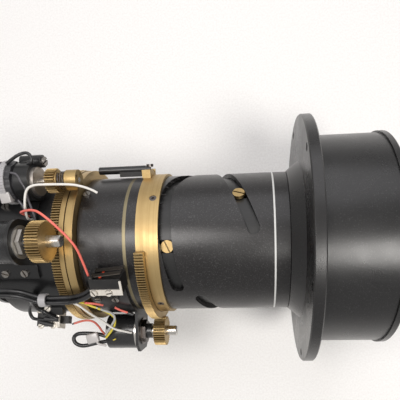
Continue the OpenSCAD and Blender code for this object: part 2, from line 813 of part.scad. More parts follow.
// Mounting flange with its flared hub and bolt holes
module mounting_flange() {
  color("#1c1c1e")
    difference() {
      turned([
        [guide_r + fit_gap, -flare_len],
        [barrel_r, -flare_len],
        [flare_r, 0],
        [flange_r - edge_cut, 0],
        [flange_r, edge_cut],
        [flange_r, flange_t - edge_cut],
        [flange_r - edge_cut, flange_t],
        [light_r, flange_t],
        [light_r, flange_t - seat_lip],
        [guide_r + fit_gap, flange_t - seat_lip]
      ]);
      for (i = [0:bolt_count - 1])
        at(bolt_angle + i * 360 / bolt_count, bolt_circle / 2, overrun)
          cylinder(d = bolt_hole, h = flange_t + 2 * overrun, $fn = small_fn);
    }
}

// Hood with the seat for the objective
module hood() {
  seat = hood_front - objective_t;
  color("#19191b")
    turned([
      [light_r, flange_t],
      [hood_r, flange_t],
      [hood_r, hood_front],
      [objective_r + fit_gap, hood_front],
      [objective_r + fit_gap, seat],
      [objective_r - objective_seat, seat],
      [objective_r - objective_seat, flange_t + hood_floor],
      [light_r, flange_t + hood_floor]
    ]);
}

// Ring that holds the objective in the hood
module lip_ring() {
  color("#202022")
    turned([
      [objective_r - lip_hold, hood_front],
      [lip_r, hood_front],
      [lip_r, lip_front - edge_cut],
      [lip_r - edge_cut, lip_front],
      [objective_r - lip_hold + edge_cut, lip_front],
      [objective_r - lip_hold, lip_front - edge_cut]
    ]);
}

module objective() {
  color("#4a4d52")
    lens(objective_r, objective_edge, objective_rise, objective_t - hood_front);
}

// Fixed tube with straight slots that keep the followers from turning
module guide_tube() {
  pin_w = follower_pin + 2 * follower_gap;
  head_w = slot_w + 2 * follower_gap;
  color("#2a2a2c")
    difference() {
      tube(guide_r, guide_in, guide_back, -(flange_t - seat_lip));
      for (i = [0:1]) {
        guide_slot(front_follower_angle + 180 * i, pin_w,
          front_follower_back + front_travel_in + fit_gap,
          front_follower_back - front_travel_out - fit_gap);
        guide_slot(rear_follower_angle + 180 * i, head_w,
          rear_follower_back + rear_travel_in + fit_gap,
          rear_follower_back - rear_travel_out - fit_gap);
      }
    }
}

// Black collar behind the zoom ring
module thrust_collar() {
  color("#1d1d1f")
    tube(barrel_r, guide_r + fit_gap, spacer_back - spacer_w, collar_back);
}

module spacer_ring() {
  color("#8c7a45")
    tube(barrel_r, guide_r + fit_gap, spacer_back, spacer_back - spacer_w);
}

// Rear barrel with the journal that the focus ring turns on
module rear_barrel() {
  color("#1d1d1f")
    turned([
      [guide_r + fit_gap, -focus_ring_back - running_gap],
      [journal_r, -focus_ring_back - running_gap],
      [journal_r, -rear_barrel_back],
      [barrel_r, -rear_barrel_back],
      [barrel_r, -spacer_back],
      [guide_r + fit_gap, -spacer_back]
    ]);
}

// Rear housing that carries the focus drive
module rear_housing() {
  color("#1b1b1d")
    turned([
      [cell_r + running_gap, -housing_back],
      [housing_r, -housing_back],
      [housing_r, -focus_ring_back - running_gap],
      [guide_r + fit_gap, -focus_ring_back - running_gap],
      [guide_r + fit_gap, -guide_back],
      [cell_r + running_gap, -guide_back]
    ]);
}

// Rear cover with the neck and flange for the detector
module rear_mount() {
  color("#222224")
    difference() {
      turned([
        [rear_light_r, -housing_back],
        [housing_r, -housing_back],
        [housing_r, -cover_back],
        [neck_r, -cover_back],
        [neck_r, -mount_back + rear_flange_t],
        [rear_flange_r, -mount_back + rear_flange_t],
        [rear_flange_r, -mount_back],
        [rear_lens_r + fit_gap, -mount_back],
        [rear_lens_r + fit_gap, -mount_back + rear_lens_t + rear_keeper_t + fit_gap],
        [rear_light_r, -mount_back + rear_lens_t + rear_keeper_t + fit_gap]
      ]);
      for (i = [0:rear_count - 1])
        at(45 + i * 360 / rear_count, rear_circle / 2, mount_back + overrun)
          cylinder(d = rear_hole, h = rear_flange_t + 2 * overrun, $fn = small_fn);
    }
}

module rear_lens() {
  color("#565a5e")
    lens(rear_lens_r, rear_lens_t - cell_lens_rise, cell_lens_rise, mount_back - rear_keeper_t);
}

module rear_keeper() {
  color("#2a2a2c")
    tube(rear_lens_r, rear_light_r, mount_back, mount_back - rear_keeper_t);
}

// Rotating sleeve with two cams for each cell
module cam_sleeve() {
  color("#19191b")
    difference() {
      tube(barrel_r, sleeve_in, zoom_ring_back, sleeve_front);
      for (i = [0:1])
        rotate([180 * i, 0, 0]) {
          cam_cutter(front_slot_start, front_slot_end, "front");
          cam_cutter(rear_slot_start, rear_slot_end, "rear");
        }
    }
}

// Brass ring with a toothed sector, clamped on the sleeve
module zoom_ring() {
  first = ceil(sector_start * zoom_teeth / 360);
  last = floor(sector_end * zoom_teeth / 360);
  color("#b08d4f")
    difference() {
      union() {
        tube(zoom_ring_r, ring_bore, zoom_ring_back, zoom_ring_front);
        at(0, 0, zoom_ring_back)
          linear_extrude(sector_w)
            polygon(concat([[0, 0]], tooth_points(zoom_teeth, first, last)));
      }
      at(0, 0, zoom_ring_back + overrun)
        bar(ring_bore, zoom_ring_w + 2 * overrun);
      ring_screw_places(ring_bore - overrun)
        radial_pin(set_screw_d + 2 * fit_gap, zoom_ring_wall + 2 * overrun);
    }
}

module ring_screw_places(radius) {
  for (i = [0:3])
    at(ring_screw_angle + 90 * i, radius, zoom_ring_front + (zoom_ring_w - sector_w) / 2)
      children();
}

// Set screws of the zoom ring, and the screw that holds the striker rod on its boss
module zoom_ring_screws() {
  color("#3a3532")
    ring_screw_places(zoom_ring_r - set_screw_drop - set_screw_len)
      difference() {
        radial_pin(set_screw_d, set_screw_len);
        translate([set_screw_len / 2, 0, 0])
          rotate([0, 90, 0])
            cylinder(d = set_socket, h = set_screw_len, $fn = 6);
      }
  color("#8d8d8b")
    at(striker_angle, rod_flat_r, boss_back - boss_len / 2)
      slotted_head(boss_screw_head, boss_screw_h, 20);
}

// Brass boss that stands on the zoom ring and carries the rod in a groove
module striker_boss() {
  color("#b8954f")
    difference() {
      at(striker_angle, barrel_r, boss_back)
        translate([0, -boss_side, 0])
          cube([rod_axis_r - barrel_r, boss_side + boss_w, boss_len]);
      at(0, 0, boss_back + overrun)
        bar(zoom_ring_r + fit_gap, boss_len + 2 * overrun);
      at(striker_angle, rod_axis_r, boss_back + overrun)
        bar(rod_d / 2 + fit_gap, boss_len + 2 * overrun);
    }
}

// Black rod with a lower web, which strikes the limit switches' levers
module striker_rod() {
  flat_len = boss_back - rod_front;
  color("#202123")
    difference() {
      union() {
        at(striker_angle, rod_axis_r, rod_back)
          bar(rod_d / 2, rod_back - rod_front);
        at(striker_angle, barrel_r + web_gap, web_back)
          translate([0, -web_w / 2, 0])
            cube([rod_axis_r - barrel_r - web_gap, web_w, web_back - boss_back - fit_gap]);
      }
      at(striker_angle, rod_flat_r, boss_back)
        translate([0, -rod_d, 0])
          cube([rod_d, 2 * rod_d, flat_len + overrun]);
    }
}

// Sliding cell with a shoulder for its lens and holes for its followers
module cell(middle_back, length) {
  back = middle_back + length / 2;
  turned([
    [cell_lens_r - cell_seat, -back],
    [cell_r, -back],
    [cell_r, length - back],
    [cell_lens_r + fit_gap, length - back],
    [cell_lens_r + fit_gap, cell_seat - back],
    [cell_lens_r - cell_seat, cell_seat - back]
  ]);
}

module follower_holes(angle, middle_back) {
  for (i = [0:1])
    at(angle + 180 * i, cell_r - pin_depth - fit_gap, middle_back)
      radial_pin(follower_pin + 2 * fit_gap, pin_depth + overrun);
}

// Brass screw whose head runs in a cam and whose pin holds the cell
module follower(angle, middle_back, head_d, head_low, head_high, turn) {
  for (i = [0:1]) {
    at(angle + 180 * i, head_low, middle_back)
      slotted_head(head_d, head_high - head_low, turn);
    at(angle + 180 * i, cell_r - pin_depth, middle_back)
      radial_pin(follower_pin, head_low - cell_r + pin_depth);
  }
}

module front_cell() {
  color("#2d2d30")
    difference() {
      cell(front_follower_back, cell_len);
      follower_holes(front_follower_angle, front_follower_back);
    }
}

module front_lens() {
  color("#5b5f64")
    lens(cell_lens_r, cell_lens_t, cell_lens_rise, front_follower_back + cell_len / 2 - cell_seat);
}

module front_followers() {
  color("#b59a62")
    follower(front_follower_angle, front_follower_back, slot_w - 2 * follower_gap,
      sleeve_in + follower_gap, barrel_r - front_head_drop, 70);
}

module rear_cell() {
  color("#2d2d30")
    difference() {
      cell(rear_follower_back, cell_len);
      follower_holes(rear_follower_angle, rear_follower_back);
    }
}

module compensator_lens() {
  color("#5b5f64")
    lens(cell_lens_r, cell_lens_t, cell_lens_rise, rear_follower_back + cell_len / 2 - cell_seat);
}

module rear_followers() {
  color("#b59a62")
    follower(rear_follower_angle, rear_follower_back, slot_w,
      sleeve_in - rear_head_drop - rear_head_t, sleeve_in - rear_head_drop, 25);
}

// Toothed brass focus ring on its journal
module focus_ring() {
  rim_back = focus_ring_back - focus_teeth_w;
  groove_back = rim_back - rim_w;
  collar_start = groove_back - groove_w;
  color("#b08d4f")
    difference() {
      union() {
        at(0, 0, focus_ring_back)
          gear(focus_teeth, focus_teeth_w);
        turned([
          [0, -rim_back],
          [rim_r, -rim_back],
          [rim_r, -groove_back],
          [rim_r - groove_d, -groove_back],
          [rim_r - groove_d, -collar_start],
          [collar_r, -collar_start],
          [collar_r, collar_w - collar_start],
          [0, collar_w - collar_start]
        ]);
      }
      at(0, 0, focus_ring_back + overrun)
        bar(journal_r + shaft_gap, focus_ring_back);
    }
}

module focus_cell() {
  color("#2d2d30")
    cell(focus_cell_back, focus_cell_len);
}

module focus_lens() {
  color("#5b5f64")
    lens(cell_lens_r, focus_lens_t, cell_lens_rise, focus_cell_back + focus_cell_len / 2 - cell_seat);
}

// Body of a potentiometer behind its bracket, with the threaded bush through the bracket
module pot_body(angle, axis_r, back, rim) {
  front = back + bracket_t + rim;
  difference() {
    union() {
      at(angle, axis_r, back + bracket_t + pot_len)
        bar(pot_d / 2, pot_len - rim);
      at(angle, axis_r, front)
        bar(pot_bush / 2, rim + pot_bush_len);
      at(angle, axis_r, back + bracket_t + pot_len)
        translate([0, 0, pot_len / 4])
          for (i = [-1:1])
            translate([pot_tab_w * (2 * i - 1 / 2), pot_d / 2 - pot_tab_w, 0])
              cube([pot_tab_w, pot_tab_w + pot_tab_len, pot_tab_t]);
    }
    at(angle, axis_r, front + pot_shaft_depth + fit_gap)
      bar(pot_shaft / 2 + shaft_gap, front);
  }
}

module pot_nut(angle, axis_r, back) {
  at(angle, axis_r, back)
    difference() {
      union() {
        bar(pot_d / 4 + nut_flats / 4, washer_t);
        translate([0, 0, washer_t])
          cylinder(d = nut_flats / cos(30), h = nut_t, $fn = 6);
      }
      translate([0, 0, -overrun])
        bar(pot_bush / 2 + fit_gap, washer_t + nut_t + 2 * overrun);
    }
}

// Shaft of a potentiometer with a bevelled end
module pot_spindle(angle, axis_r, back, front, rim) {
  start = back + bracket_t + rim + pot_shaft_depth;
  at(angle, axis_r, start) {
    bar(pot_shaft / 2, start - front - shaft_bevel);
    translate([0, 0, start - front - shaft_bevel])
      cylinder(r1 = pot_shaft / 2, r2 = pot_shaft / 2 - shaft_bevel, h = shaft_bevel);
  }
}

module pot_pinion(angle, axis_r, back, width, teeth, ring_teeth) {
  difference() {
    at(angle, axis_r, back)
      rotate([0, 0, mesh_turn(angle, ring_teeth, teeth)])
        gear(teeth, width);
    at(angle, axis_r, back + overrun)
      bar(pot_shaft / 2 + fit_gap, width + 2 * overrun);
  }
}

// Everything within a barrel, which is cut from what stands on it
module barrel_space(radius, back, length) {
  at(0, 0, back + overrun)
    bar(radius + fit_gap, length + 2 * overrun);
}

module focus_pot_body() {
  color("#1d1e20")
    pot_body(focus_pot_angle, focus_pot_axis, focus_bracket_back, 0);
}

module focus_pot_nut() {
  color("#c9c9c4")
    pot_nut(focus_pot_angle, focus_pot_axis, focus_bracket_back);
}

module focus_pot_shaft() {
  color("#c4c0b8")
    pot_spindle(focus_pot_angle, focus_pot_axis, focus_bracket_back, focus_shaft_front, 0);
}

module focus_pot_pinion() {
  color("#b89450")
    pot_pinion(focus_pot_angle, focus_pot_axis, focus_pinion_back, focus_pinion_w,
      focus_pot_teeth, focus_teeth);
}

// Round-ended upright and saddle that carry the focus potentiometer
module focus_pot_bracket() {
  length = bracket_t + focus_saddle_len;
  color("#1c1c1e")
    difference() {
      union() {
        at(focus_pot_angle, 0, focus_bracket_back + bracket_t) {
          translate([housing_r / 2, -bracket_w / 2, 0])
            cube([focus_pot_axis - housing_r / 2, bracket_w, bracket_t]);
          translate([focus_pot_axis, 0, 0])
            bar(bracket_w / 2, bracket_t);
        }
        saddle(housing_r, saddle_t + fit_gap, focus_pot_angle - focus_saddle_low,
          focus_pot_angle + focus_saddle_high, focus_bracket_back + length, focus_bracket_back);
      }
      barrel_space(housing_r, focus_bracket_back + length, length);
      at(focus_pot_angle, focus_pot_axis, focus_bracket_back + bracket_t + overrun)
        bar(pot_bush / 2 + fit_gap, bracket_t + 2 * overrun);
    }
}

module zoom_pot_body() {
  color("#1f2022")
    pot_body(zoom_pot_angle, zoom_pot_axis, zoom_bracket_back, pot_rim_t);
}

module zoom_pot_rim() {
  color("#c4c4c2")
    difference() {
      at(zoom_pot_angle, zoom_pot_axis, zoom_bracket_back + bracket_t + pot_rim_t)
        bar(pot_d / 2, pot_rim_t);
      at(zoom_pot_angle, zoom_pot_axis, zoom_bracket_back + bracket_t + pot_rim_t + overrun)
        bar(pot_bush / 2 + fit_gap, pot_rim_t + 2 * overrun);
    }
}

module zoom_pot_nut() {
  color("#2c2a29")
    pot_nut(zoom_pot_angle, zoom_pot_axis, zoom_bracket_back);
}

module zoom_pot_shaft() {
  color("#c4c0b8")
    pot_spindle(zoom_pot_angle, zoom_pot_axis, zoom_bracket_back, zoom_shaft_front, pot_rim_t);
}

module zoom_pot_pinion() {
  color("#c2a55a")
    pot_pinion(zoom_pot_angle, zoom_pot_axis, zoom_pinion_back, zoom_pinion_w,
      zoom_pot_teeth, zoom_teeth);
}

// Upright with cut corners for the zoom potentiometer, and the saddle and pad that carry the switches
module zoom_pot_bracket() {
  length = bracket_t + zoom_saddle_len;
  end = zoom_pot_axis + bracket_w / 2;
  half = bracket_w / 2;
  color("#1c1c1e")
    difference() {
      union() {
        at(zoom_pot_angle, 0, zoom_bracket_back + bracket_t)
          linear_extrude(bracket_t)
            polygon([
              [housing_r / 2, -half],
              [end - bracket_cut, -half],
              [end, -half + bracket_cut],
              [end, half - bracket_cut],
              [end - bracket_cut, half],
              [housing_r / 2, half]
            ]);
        saddle(barrel_r, saddle_t + fit_gap, switch_angle - switch_saddle_low,
          zoom_pot_angle + zoom_saddle_high,
          zoom_bracket_back + length, zoom_bracket_back);
        at(switch_angle, barrel_r - saddle_t, switch_front + switch_len)
          translate([0, -switch_depth / 2, 0])
            cube([switch_seat_r - barrel_r + saddle_t, switch_depth + switch_pad_side,
              switch_pad_len]);
      }
      barrel_space(barrel_r, zoom_bracket_back + length, 2 * length);
      at(zoom_pot_angle, zoom_pot_axis, zoom_bracket_back + bracket_t + overrun)
        bar(pot_bush / 2 + fit_gap, bracket_t + 2 * overrun);
    }
}

// Clamp ring round a motor, with a web and a saddle on the barrel
module motor_clamp(angle, axis_r, motor_d, front, seat_r, low, high) {
  outer = motor_d / 2 + fit_gap + clamp_wall;
  difference() {
    union() {
      difference() {
        union() {
          at(angle, axis_r, front + clamp_len)
            bar(outer, clamp_len);
          at(angle, seat_r / 2, front + clamp_len)
            translate([0, -outer, 0])
              cube([axis_r - seat_r / 2, outer + clamp_web_w, clamp_len]);
          children();
        }
        barrel_space(seat_r + clamp_foot_t / 2, front + clamp_len, clamp_len);
      }
      saddle(seat_r + fit_gap, clamp_foot_t, angle - low, angle + high, front + clamp_len, front);
    }
    at(angle, axis_r, front + clamp_len + overrun)
      bar(motor_d / 2 + fit_gap, clamp_len + 2 * overrun);
  }
}

module focus_motor() {
  color("#1b1b1d")
    difference() {
      at(focus_motor_angle, focus_motor_axis, focus_motor_front + focus_motor_len)
        bar(focus_motor_d / 2, focus_motor_len);
      at(focus_motor_angle, focus_motor_axis, focus_motor_front + shaft_depth + fit_gap)
        bar(motor_shaft / 2 + shaft_gap, shaft_depth + fit_gap + overrun);
    }
}

module focus_motor_face() {
  color("#a29a92")
    difference() {
      at(focus_motor_angle, focus_motor_axis, focus_motor_front)
        bar(motor_face_d / 2, motor_face_t);
      at(focus_motor_angle, focus_motor_axis, focus_motor_front + overrun)
        bar(motor_shaft / 2 + shaft_gap, motor_face_t + 2 * overrun);
    }
}

// Place of the clamp's lug beside the motor
module at_lug(back) {
  at(focus_motor_angle, focus_motor_axis, back)
    rotate([0, 0, lug_turn])
      translate([lug_rise, 0, 0])
        children();
}

module focus_motor_bracket() {
  color("#1c1c1e")
    difference() {
      motor_clamp(focus_motor_angle, focus_motor_axis, focus_motor_d, focus_motor_front, housing_r,
        motor_saddle_low, motor_saddle_high)
        at_lug(focus_motor_front + clamp_len)
          bar(lug_r, lug_len);
      at(focus_motor_angle, focus_motor_axis, focus_motor_front + fit_gap)
        bar(motor_face_d / 2 + face_gap, lug_len);
    }
}

module focus_motor_shaft() {
  start = focus_motor_front + shaft_depth;
  color("#c4c0b8")
    at(focus_motor_angle, focus_motor_axis, start)
      bar(motor_shaft / 2, start - clutch_front);
}

// Clutch pinion with a rim and the hub that the spring goes round
module clutch_pinion() {
  color("#b89450")
    difference() {
      at(focus_motor_angle, focus_motor_axis, clutch_back) {
        rotate([0, 0, mesh_turn(focus_motor_angle, focus_teeth, motor_teeth)])
          gear(motor_teeth, clutch_teeth_w);
        bar(clutch_rim_r, clutch_teeth_w + clutch_rim_t);
        bar(hub_r, clutch_teeth_w + clutch_rim_t + spring_len);
      }
      at(focus_motor_angle, focus_motor_axis, clutch_back + overrun)
        bar(motor_shaft / 2 + fit_gap, clutch_back);
    }
}

// Points of the clutch spring round the motor's axis
spring_step = 8;
spring_rings = floor(spring_turns * spring_step);
spring_rise = spring_len - spring_wire - 2 * spring_end_gap;
spring_points = [
  for (i = [0:spring_rings])
    [
      spring_r * cos(360 * i / spring_step),
      spring_r * sin(360 * i / spring_step),
      spring_wire / 2 + spring_end_gap + spring_rise * i / spring_rings
    ]
];
spring_gap = min([
  for (i = [0:spring_rings], k = [0:spring_rings])
    if (k - i > spring_step / 2) norm(spring_points[i] - spring_points[k])
]) - spring_wire;
echo(clutch_spring_least_gap = spring_gap);

module clutch_spring() {
  color("#6e6a66")
    at(focus_motor_angle, focus_motor_axis, clutch_back - clutch_teeth_w - clutch_rim_t)
      wire(spring_points, spring_wire, 6);
}

// Collar that holds the spring, with small holes in its face
module clutch_collar() {
  start = clutch_back - clutch_teeth_w - clutch_rim_t - spring_len;
  color("#a88a55")
    difference() {
      at(focus_motor_angle, focus_motor_axis, start)
        bar(clutch_collar_r, clutch_collar_len);
      at(focus_motor_angle, focus_motor_axis, start + overrun)
        bar(motor_shaft / 2 + fit_gap, clutch_collar_len + 2 * overrun);
      for (i = [0:3])
        at(focus_motor_angle, focus_motor_axis, clutch_front + collar_hole_depth)
          rotate([0, 0, 90 * i + 20])
            translate([clutch_collar_r - collar_hole, 0, 0])
              cylinder(d = collar_hole, h = collar_hole_depth + overrun, $fn = small_fn);
    }
}

module zoom_motor() {
  color("#8f8f8d")
    difference() {
      at(zoom_motor_angle, zoom_motor_axis, zoom_motor_front + zoom_motor_len)
        bar(zoom_motor_d / 2, zoom_motor_len);
      at(zoom_motor_angle, zoom_motor_axis, zoom_motor_front + shaft_depth + fit_gap)
        bar(motor_shaft / 2 + shaft_gap, shaft_depth + fit_gap + overrun);
    }
}

module zoom_motor_bracket() {
  color("#1c1c1e")
    motor_clamp(zoom_motor_angle, zoom_motor_axis, zoom_motor_d, zoom_motor_front, barrel_r,
      motor_saddle_low, motor_saddle_low);
}

// Pinion of the zoom motor on its shaft
module zoom_motor_pinion() {
  back = zoom_ring_back + (zoom_drive_w - sector_w) / 2;
  start = zoom_motor_front + shaft_depth;
  color("#b89450") {
    at(zoom_motor_angle, zoom_motor_axis, back)
      rotate([0, 0, mesh_turn(zoom_motor_angle, zoom_teeth, motor_teeth)])
        gear(motor_teeth, zoom_drive_w);
    at(zoom_motor_angle, zoom_motor_axis, start)
      bar(motor_shaft / 2, start - back + zoom_drive_w);
  }
}

// Local frame of the zoom limit switches: x outwards, y down the barrel, z along the axis
module at_switches() {
  at(switch_angle, switch_seat_r, switch_front + switch_len)
    children();
}

// Two switch bodies side by side, with ears for the levers' pins
module limit_switches() {
  color("#141415")
    for (i = [0:1])
      at_switches()
        translate([(switch_t + fit_gap) * i, 0, 0])
          difference() {
            union() {
              translate([0, -switch_depth / 2, 0])
                cube([switch_t, switch_depth, switch_len]);
              for (side = [0, switch_t - ear_t])
                translate([side, -switch_depth / 2 - lever_pin_rise - lever_pin, 0])
                  cube([ear_t, lever_pin_rise + lever_pin + overrun, 2 * lever_pin_in]);
            }
            translate([-overrun, -switch_depth / 2 - lever_pin_rise, lever_pin_in])
              radial_pin(lever_pin + 2 * shaft_gap, switch_t + 2 * overrun);
            translate([switch_t / 2, -switch_depth / 2 - overrun, lever_pin_in + lever_arm])
              rotate([-90, 0, 0])
                cylinder(d = plunger_d + 2 * shaft_gap, h = plunger_depth + overrun,
                  $fn = small_fn);
            for (k = [0:1])
              translate([-overrun, switch_screw_y, switch_screw_in + switch_screw_pitch * k])
                radial_pin(switch_screw_d + 2 * fit_gap, switch_t + 2 * overrun);
          }
}

// Sprung steel levers, each with its own pin
module switch_levers() {
  color("#a9a49c")
    for (i = [0:1])
      at_switches()
        translate([(switch_t + fit_gap) * i, -switch_depth / 2 - lever_pin_rise, lever_pin_in]) {
          translate([shaft_gap, 0, 0])
            radial_pin(lever_pin, switch_t - 2 * shaft_gap);
          rotate([lever_tilt, 0, 0])
            translate([(switch_t - lever_w) / 2, -lever_t / 2, 0])
              cube([lever_w, lever_t, lever_len]);
        }
}

module switch_plungers() {
  color("#b8432c")
    for (i = [0:1])
      at_switches()
        translate([(switch_t + fit_gap) * i + switch_t / 2, -switch_depth / 2 - plunger_h,
          lever_pin_in + lever_arm])
          rotate([-90, 0, 0])
            cylinder(d = plunger_d, h = plunger_h + plunger_depth - plunger_travel - fit_gap,
              $fn = small_fn);
}

// Screws through both switches, and the bright strip under their heads
module switch_screws() {
  color("#c9c7c2")
    at_switches() {
      for (k = [0:1])
        translate([fit_gap, switch_screw_y, switch_screw_in + switch_screw_pitch * k]) {
          radial_pin(switch_screw_d, switch_stack + strip_t - fit_gap);
          translate([switch_stack + strip_t, 0, 0])
            slotted_head(switch_screw_head, switch_screw_h, 70 * k + 30);
        }
      difference() {
        translate([switch_stack, switch_screw_y - switch_screw_head / 2, 0]) {
          cube([strip_t, switch_screw_head, switch_len]);
          translate([0, -tab_len, switch_len - strip_t])
            cube([strip_t, tab_len + switch_screw_head, 2 * strip_t]);
        }
        translate([switch_stack - overrun, switch_screw_y, switch_screw_in])
          for (k = [0:1])
            translate([0, 0, switch_screw_pitch * k])
              radial_pin(switch_screw_d + 2 * fit_gap, strip_t + 2 * overrun);
      }
    }
}

module end_switch() {
  color("#17181a")
    difference() {
      at(end_switch_angle, end_seat_r, end_switch_front + end_switch_len)
        translate([0, -end_switch_w / 2, 0])
          cube([end_switch_w, end_switch_w, end_switch_len]);
      at(end_switch_angle, end_axis_r, end_switch_front + end_plunger_depth)
        translate([-end_plunger_w / 2 - shaft_gap, -end_plunger_w / 2 - shaft_gap, 0])
          cube([end_plunger_w + 2 * shaft_gap, end_plunger_w + 2 * shaft_gap,
            end_plunger_depth + overrun]);
    }
}

// Steel angle that holds the end switch on the housing
module end_switch_bracket() {
  side = end_switch_w / 2 + end_bracket_t;
  base = housing_r / 2;
  color("#b3aca2")
    difference() {
      union() {
        at(end_switch_angle, base, end_switch_front)
          translate([0, -side, 0])
            cube([end_seat_r + end_switch_w + end_bracket_t - base, 2 * side, end_bracket_t]);
        at(end_switch_angle, base, end_switch_front + end_switch_len)
          translate([0, -side, 0])
            cube([end_seat_r - base, 2 * side, end_switch_len]);
      }
      barrel_space(housing_r, end_switch_front + end_switch_len, end_switch_len + end_bracket_t);
      at(end_switch_angle, end_axis_r, end_switch_front + overrun)
        translate([-end_plunger_w / 2 - shaft_gap, -end_plunger_w / 2 - shaft_gap, 0])
          cube([end_plunger_w + 2 * shaft_gap, end_plunger_w + 2 * shaft_gap,
            end_bracket_t + 2 * overrun]);
    }
}

module end_plunger() {
  length = end_plunger_len + end_bracket_t + end_plunger_depth - end_plunger_travel - fit_gap;
  color("#101011")
    at(end_switch_angle, end_axis_r, end_switch_front - end_bracket_t - end_plunger_len + length)
      translate([-end_plunger_w / 2, -end_plunger_w / 2, 0])
        cube([end_plunger_w, end_plunger_w, length]);
}

// Screws of the brackets on the housing and of the motor's clamp
module housing_screws() {
  pitch = focus_saddle_len + bracket_t - screw_front - screw_rear;
  color("#9a9a98") {
    for (side = [-focus_screw_low, focus_screw_high], i = [0:1])
      at(focus_pot_angle + side, housing_r + fit_gap + saddle_t,
        focus_bracket_back + screw_front + pitch * i)
        slotted_head(pan_head, pan_head_h, 50 * i + side);
    at_lug(focus_motor_front + clamp_len - lug_len)
      rotate([0, -90, 0])
        slotted_head(lug_screw, pan_head_h, 40);
  }
}

// Pan screws round the rear barrel, and those of the saddle under the switches
module barrel_screws() {
  pitch = zoom_saddle_len + bracket_t - screw_front - screw_rear;
  color("#9a9a98") {
    for (i = [0, 1])
      at(barrel_screw_angle + 180 * i, barrel_r, rear_barrel_back - pan_head / 2 - pan_margin)
        slotted_head(pan_head, pan_head_h, 30);
    for (i = [0:1])
      at(saddle_screw_angle, barrel_r + fit_gap + saddle_t,
        zoom_bracket_back + screw_front + pitch * i)
        slotted_head(pan_head, pan_head_h, 80 * i);
  }
}

// Black cables that run round the barrel from the rear neck to the switches
module cable_bundle() {
  color("#1a1a1c")
    for (i = [0:2])
      wire(beside(follow_barrel(bundle_route), bundle_r, 120 * i), cable_d, wire_sides);
}

module cable_clip() {
  color("#b9b8b4")
    at(clip_angle, bundle_axis_r, clip_back)
      difference() {
        bar(bundle_r + cable_d / 2 + fit_gap + clip_t, clip_w);
        translate([0, 0, -overrun])
          bar(bundle_r + cable_d / 2 + fit_gap, clip_w + 2 * overrun);
      }
}

// White and red leads over the focus ring
module switch_leads() {
  color("#e8e6e0")
    wire(follow_barrel(white_route), lead_d, wire_sides);
  color("#e06a58")
    wire(follow_barrel(red_route), lead_d, wire_sides);
}

// Leads of the zoom potentiometer
module pot_leads() {
  color("#e8e6e0")
    wire(follow_barrel(pot_white_route), lead_d, wire_sides);
  color("#bdbdb8")
    wire(follow_barrel(pot_grey_route), lead_d, wire_sides);
  color("#b5564a")
    wire(follow_barrel(pot_red_route), lead_d, wire_sides);
  color("#1a1a1c")
    wire(follow_barrel(pot_loop_route), cable_d, wire_sides);
}

mounting_flange();
hood();
lip_ring();
objective();
guide_tube();
thrust_collar();
spacer_ring();
rear_barrel();
barrel_screws();
rear_housing();
housing_screws();
rear_mount();
rear_lens();
rear_keeper();
cam_sleeve();
zoom_ring();
zoom_ring_screws();
striker_boss();
striker_rod();
front_cell();
front_lens();
front_followers();
rear_cell();
compensator_lens();
rear_followers();
focus_ring();
focus_cell();
focus_lens();
focus_pot_body();
focus_pot_nut();
focus_pot_shaft();
focus_pot_pinion();
focus_pot_bracket();
zoom_pot_body();
zoom_pot_rim();
zoom_pot_nut();
zoom_pot_shaft();
zoom_pot_pinion();
zoom_pot_bracket();
focus_motor();
focus_motor_face();
focus_motor_bracket();
focus_motor_shaft();
clutch_pinion();
clutch_spring();
clutch_collar();
zoom_motor();
zoom_motor_bracket();
zoom_motor_pinion();
limit_switches();
switch_levers();
switch_plungers();
switch_screws();
end_switch();
end_switch_bracket();
end_plunger();
cable_bundle();
cable_clip();
switch_leads();
pot_leads();
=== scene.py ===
"""Looks of a motorised infrared zoom lens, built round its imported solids.

The frame is the solids' own: +X runs along the optical axis towards the scene, +Y is up in the main view and
+Z points at the main camera. Lengths are in metres, or in millimetres where that is said.
"""

import logging
import math
from collections.abc import Callable, Sequence
from dataclasses import dataclass, field
from enum import Enum
from typing import Any

import bpy
from mathutils import Matrix, Vector


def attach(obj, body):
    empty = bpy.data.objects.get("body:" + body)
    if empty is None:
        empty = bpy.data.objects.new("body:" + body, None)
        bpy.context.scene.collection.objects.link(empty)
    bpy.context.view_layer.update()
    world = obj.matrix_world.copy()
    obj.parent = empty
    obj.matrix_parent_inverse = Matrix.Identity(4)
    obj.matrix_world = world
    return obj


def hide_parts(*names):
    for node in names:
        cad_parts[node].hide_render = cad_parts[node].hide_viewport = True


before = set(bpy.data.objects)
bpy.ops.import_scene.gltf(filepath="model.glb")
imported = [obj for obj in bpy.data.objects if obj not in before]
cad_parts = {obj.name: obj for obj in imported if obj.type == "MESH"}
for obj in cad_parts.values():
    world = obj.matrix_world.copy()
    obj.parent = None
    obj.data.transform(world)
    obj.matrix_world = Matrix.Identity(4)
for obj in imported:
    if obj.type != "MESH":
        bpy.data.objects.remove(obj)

log = logging.getLogger("zoom_lens")

Colour = tuple[float, float, float]
Point = tuple[float, float, float]
Centre = tuple[float, float]
Socket = bpy.types.NodeSocket

MM = 0.001
AXIS: Centre = (0.0, 0.0)
ALONG_X: Point = (0.0, math.pi / 2, 0.0)
SMOOTH_ANGLE = math.radians(35)

# Samples of the shader nodes that look round a point
NEAR_SAMPLES = 6

# Ranges that hold the middle part of a noise texture's values
NOISE_MIDDLE = (0.35, 0.65)
MARK_MIDDLE = (0.3, 0.7)

# Facets of a block's rounding, and its radius on a block that cuts a slot
BLOCK_SEGMENTS = 3
CUT_EDGE = 0.04 * MM

# Least part of its normal along an axis for a face to look that way, and most for it to lie beside
FACING = 0.9
ASKEW = 0.5


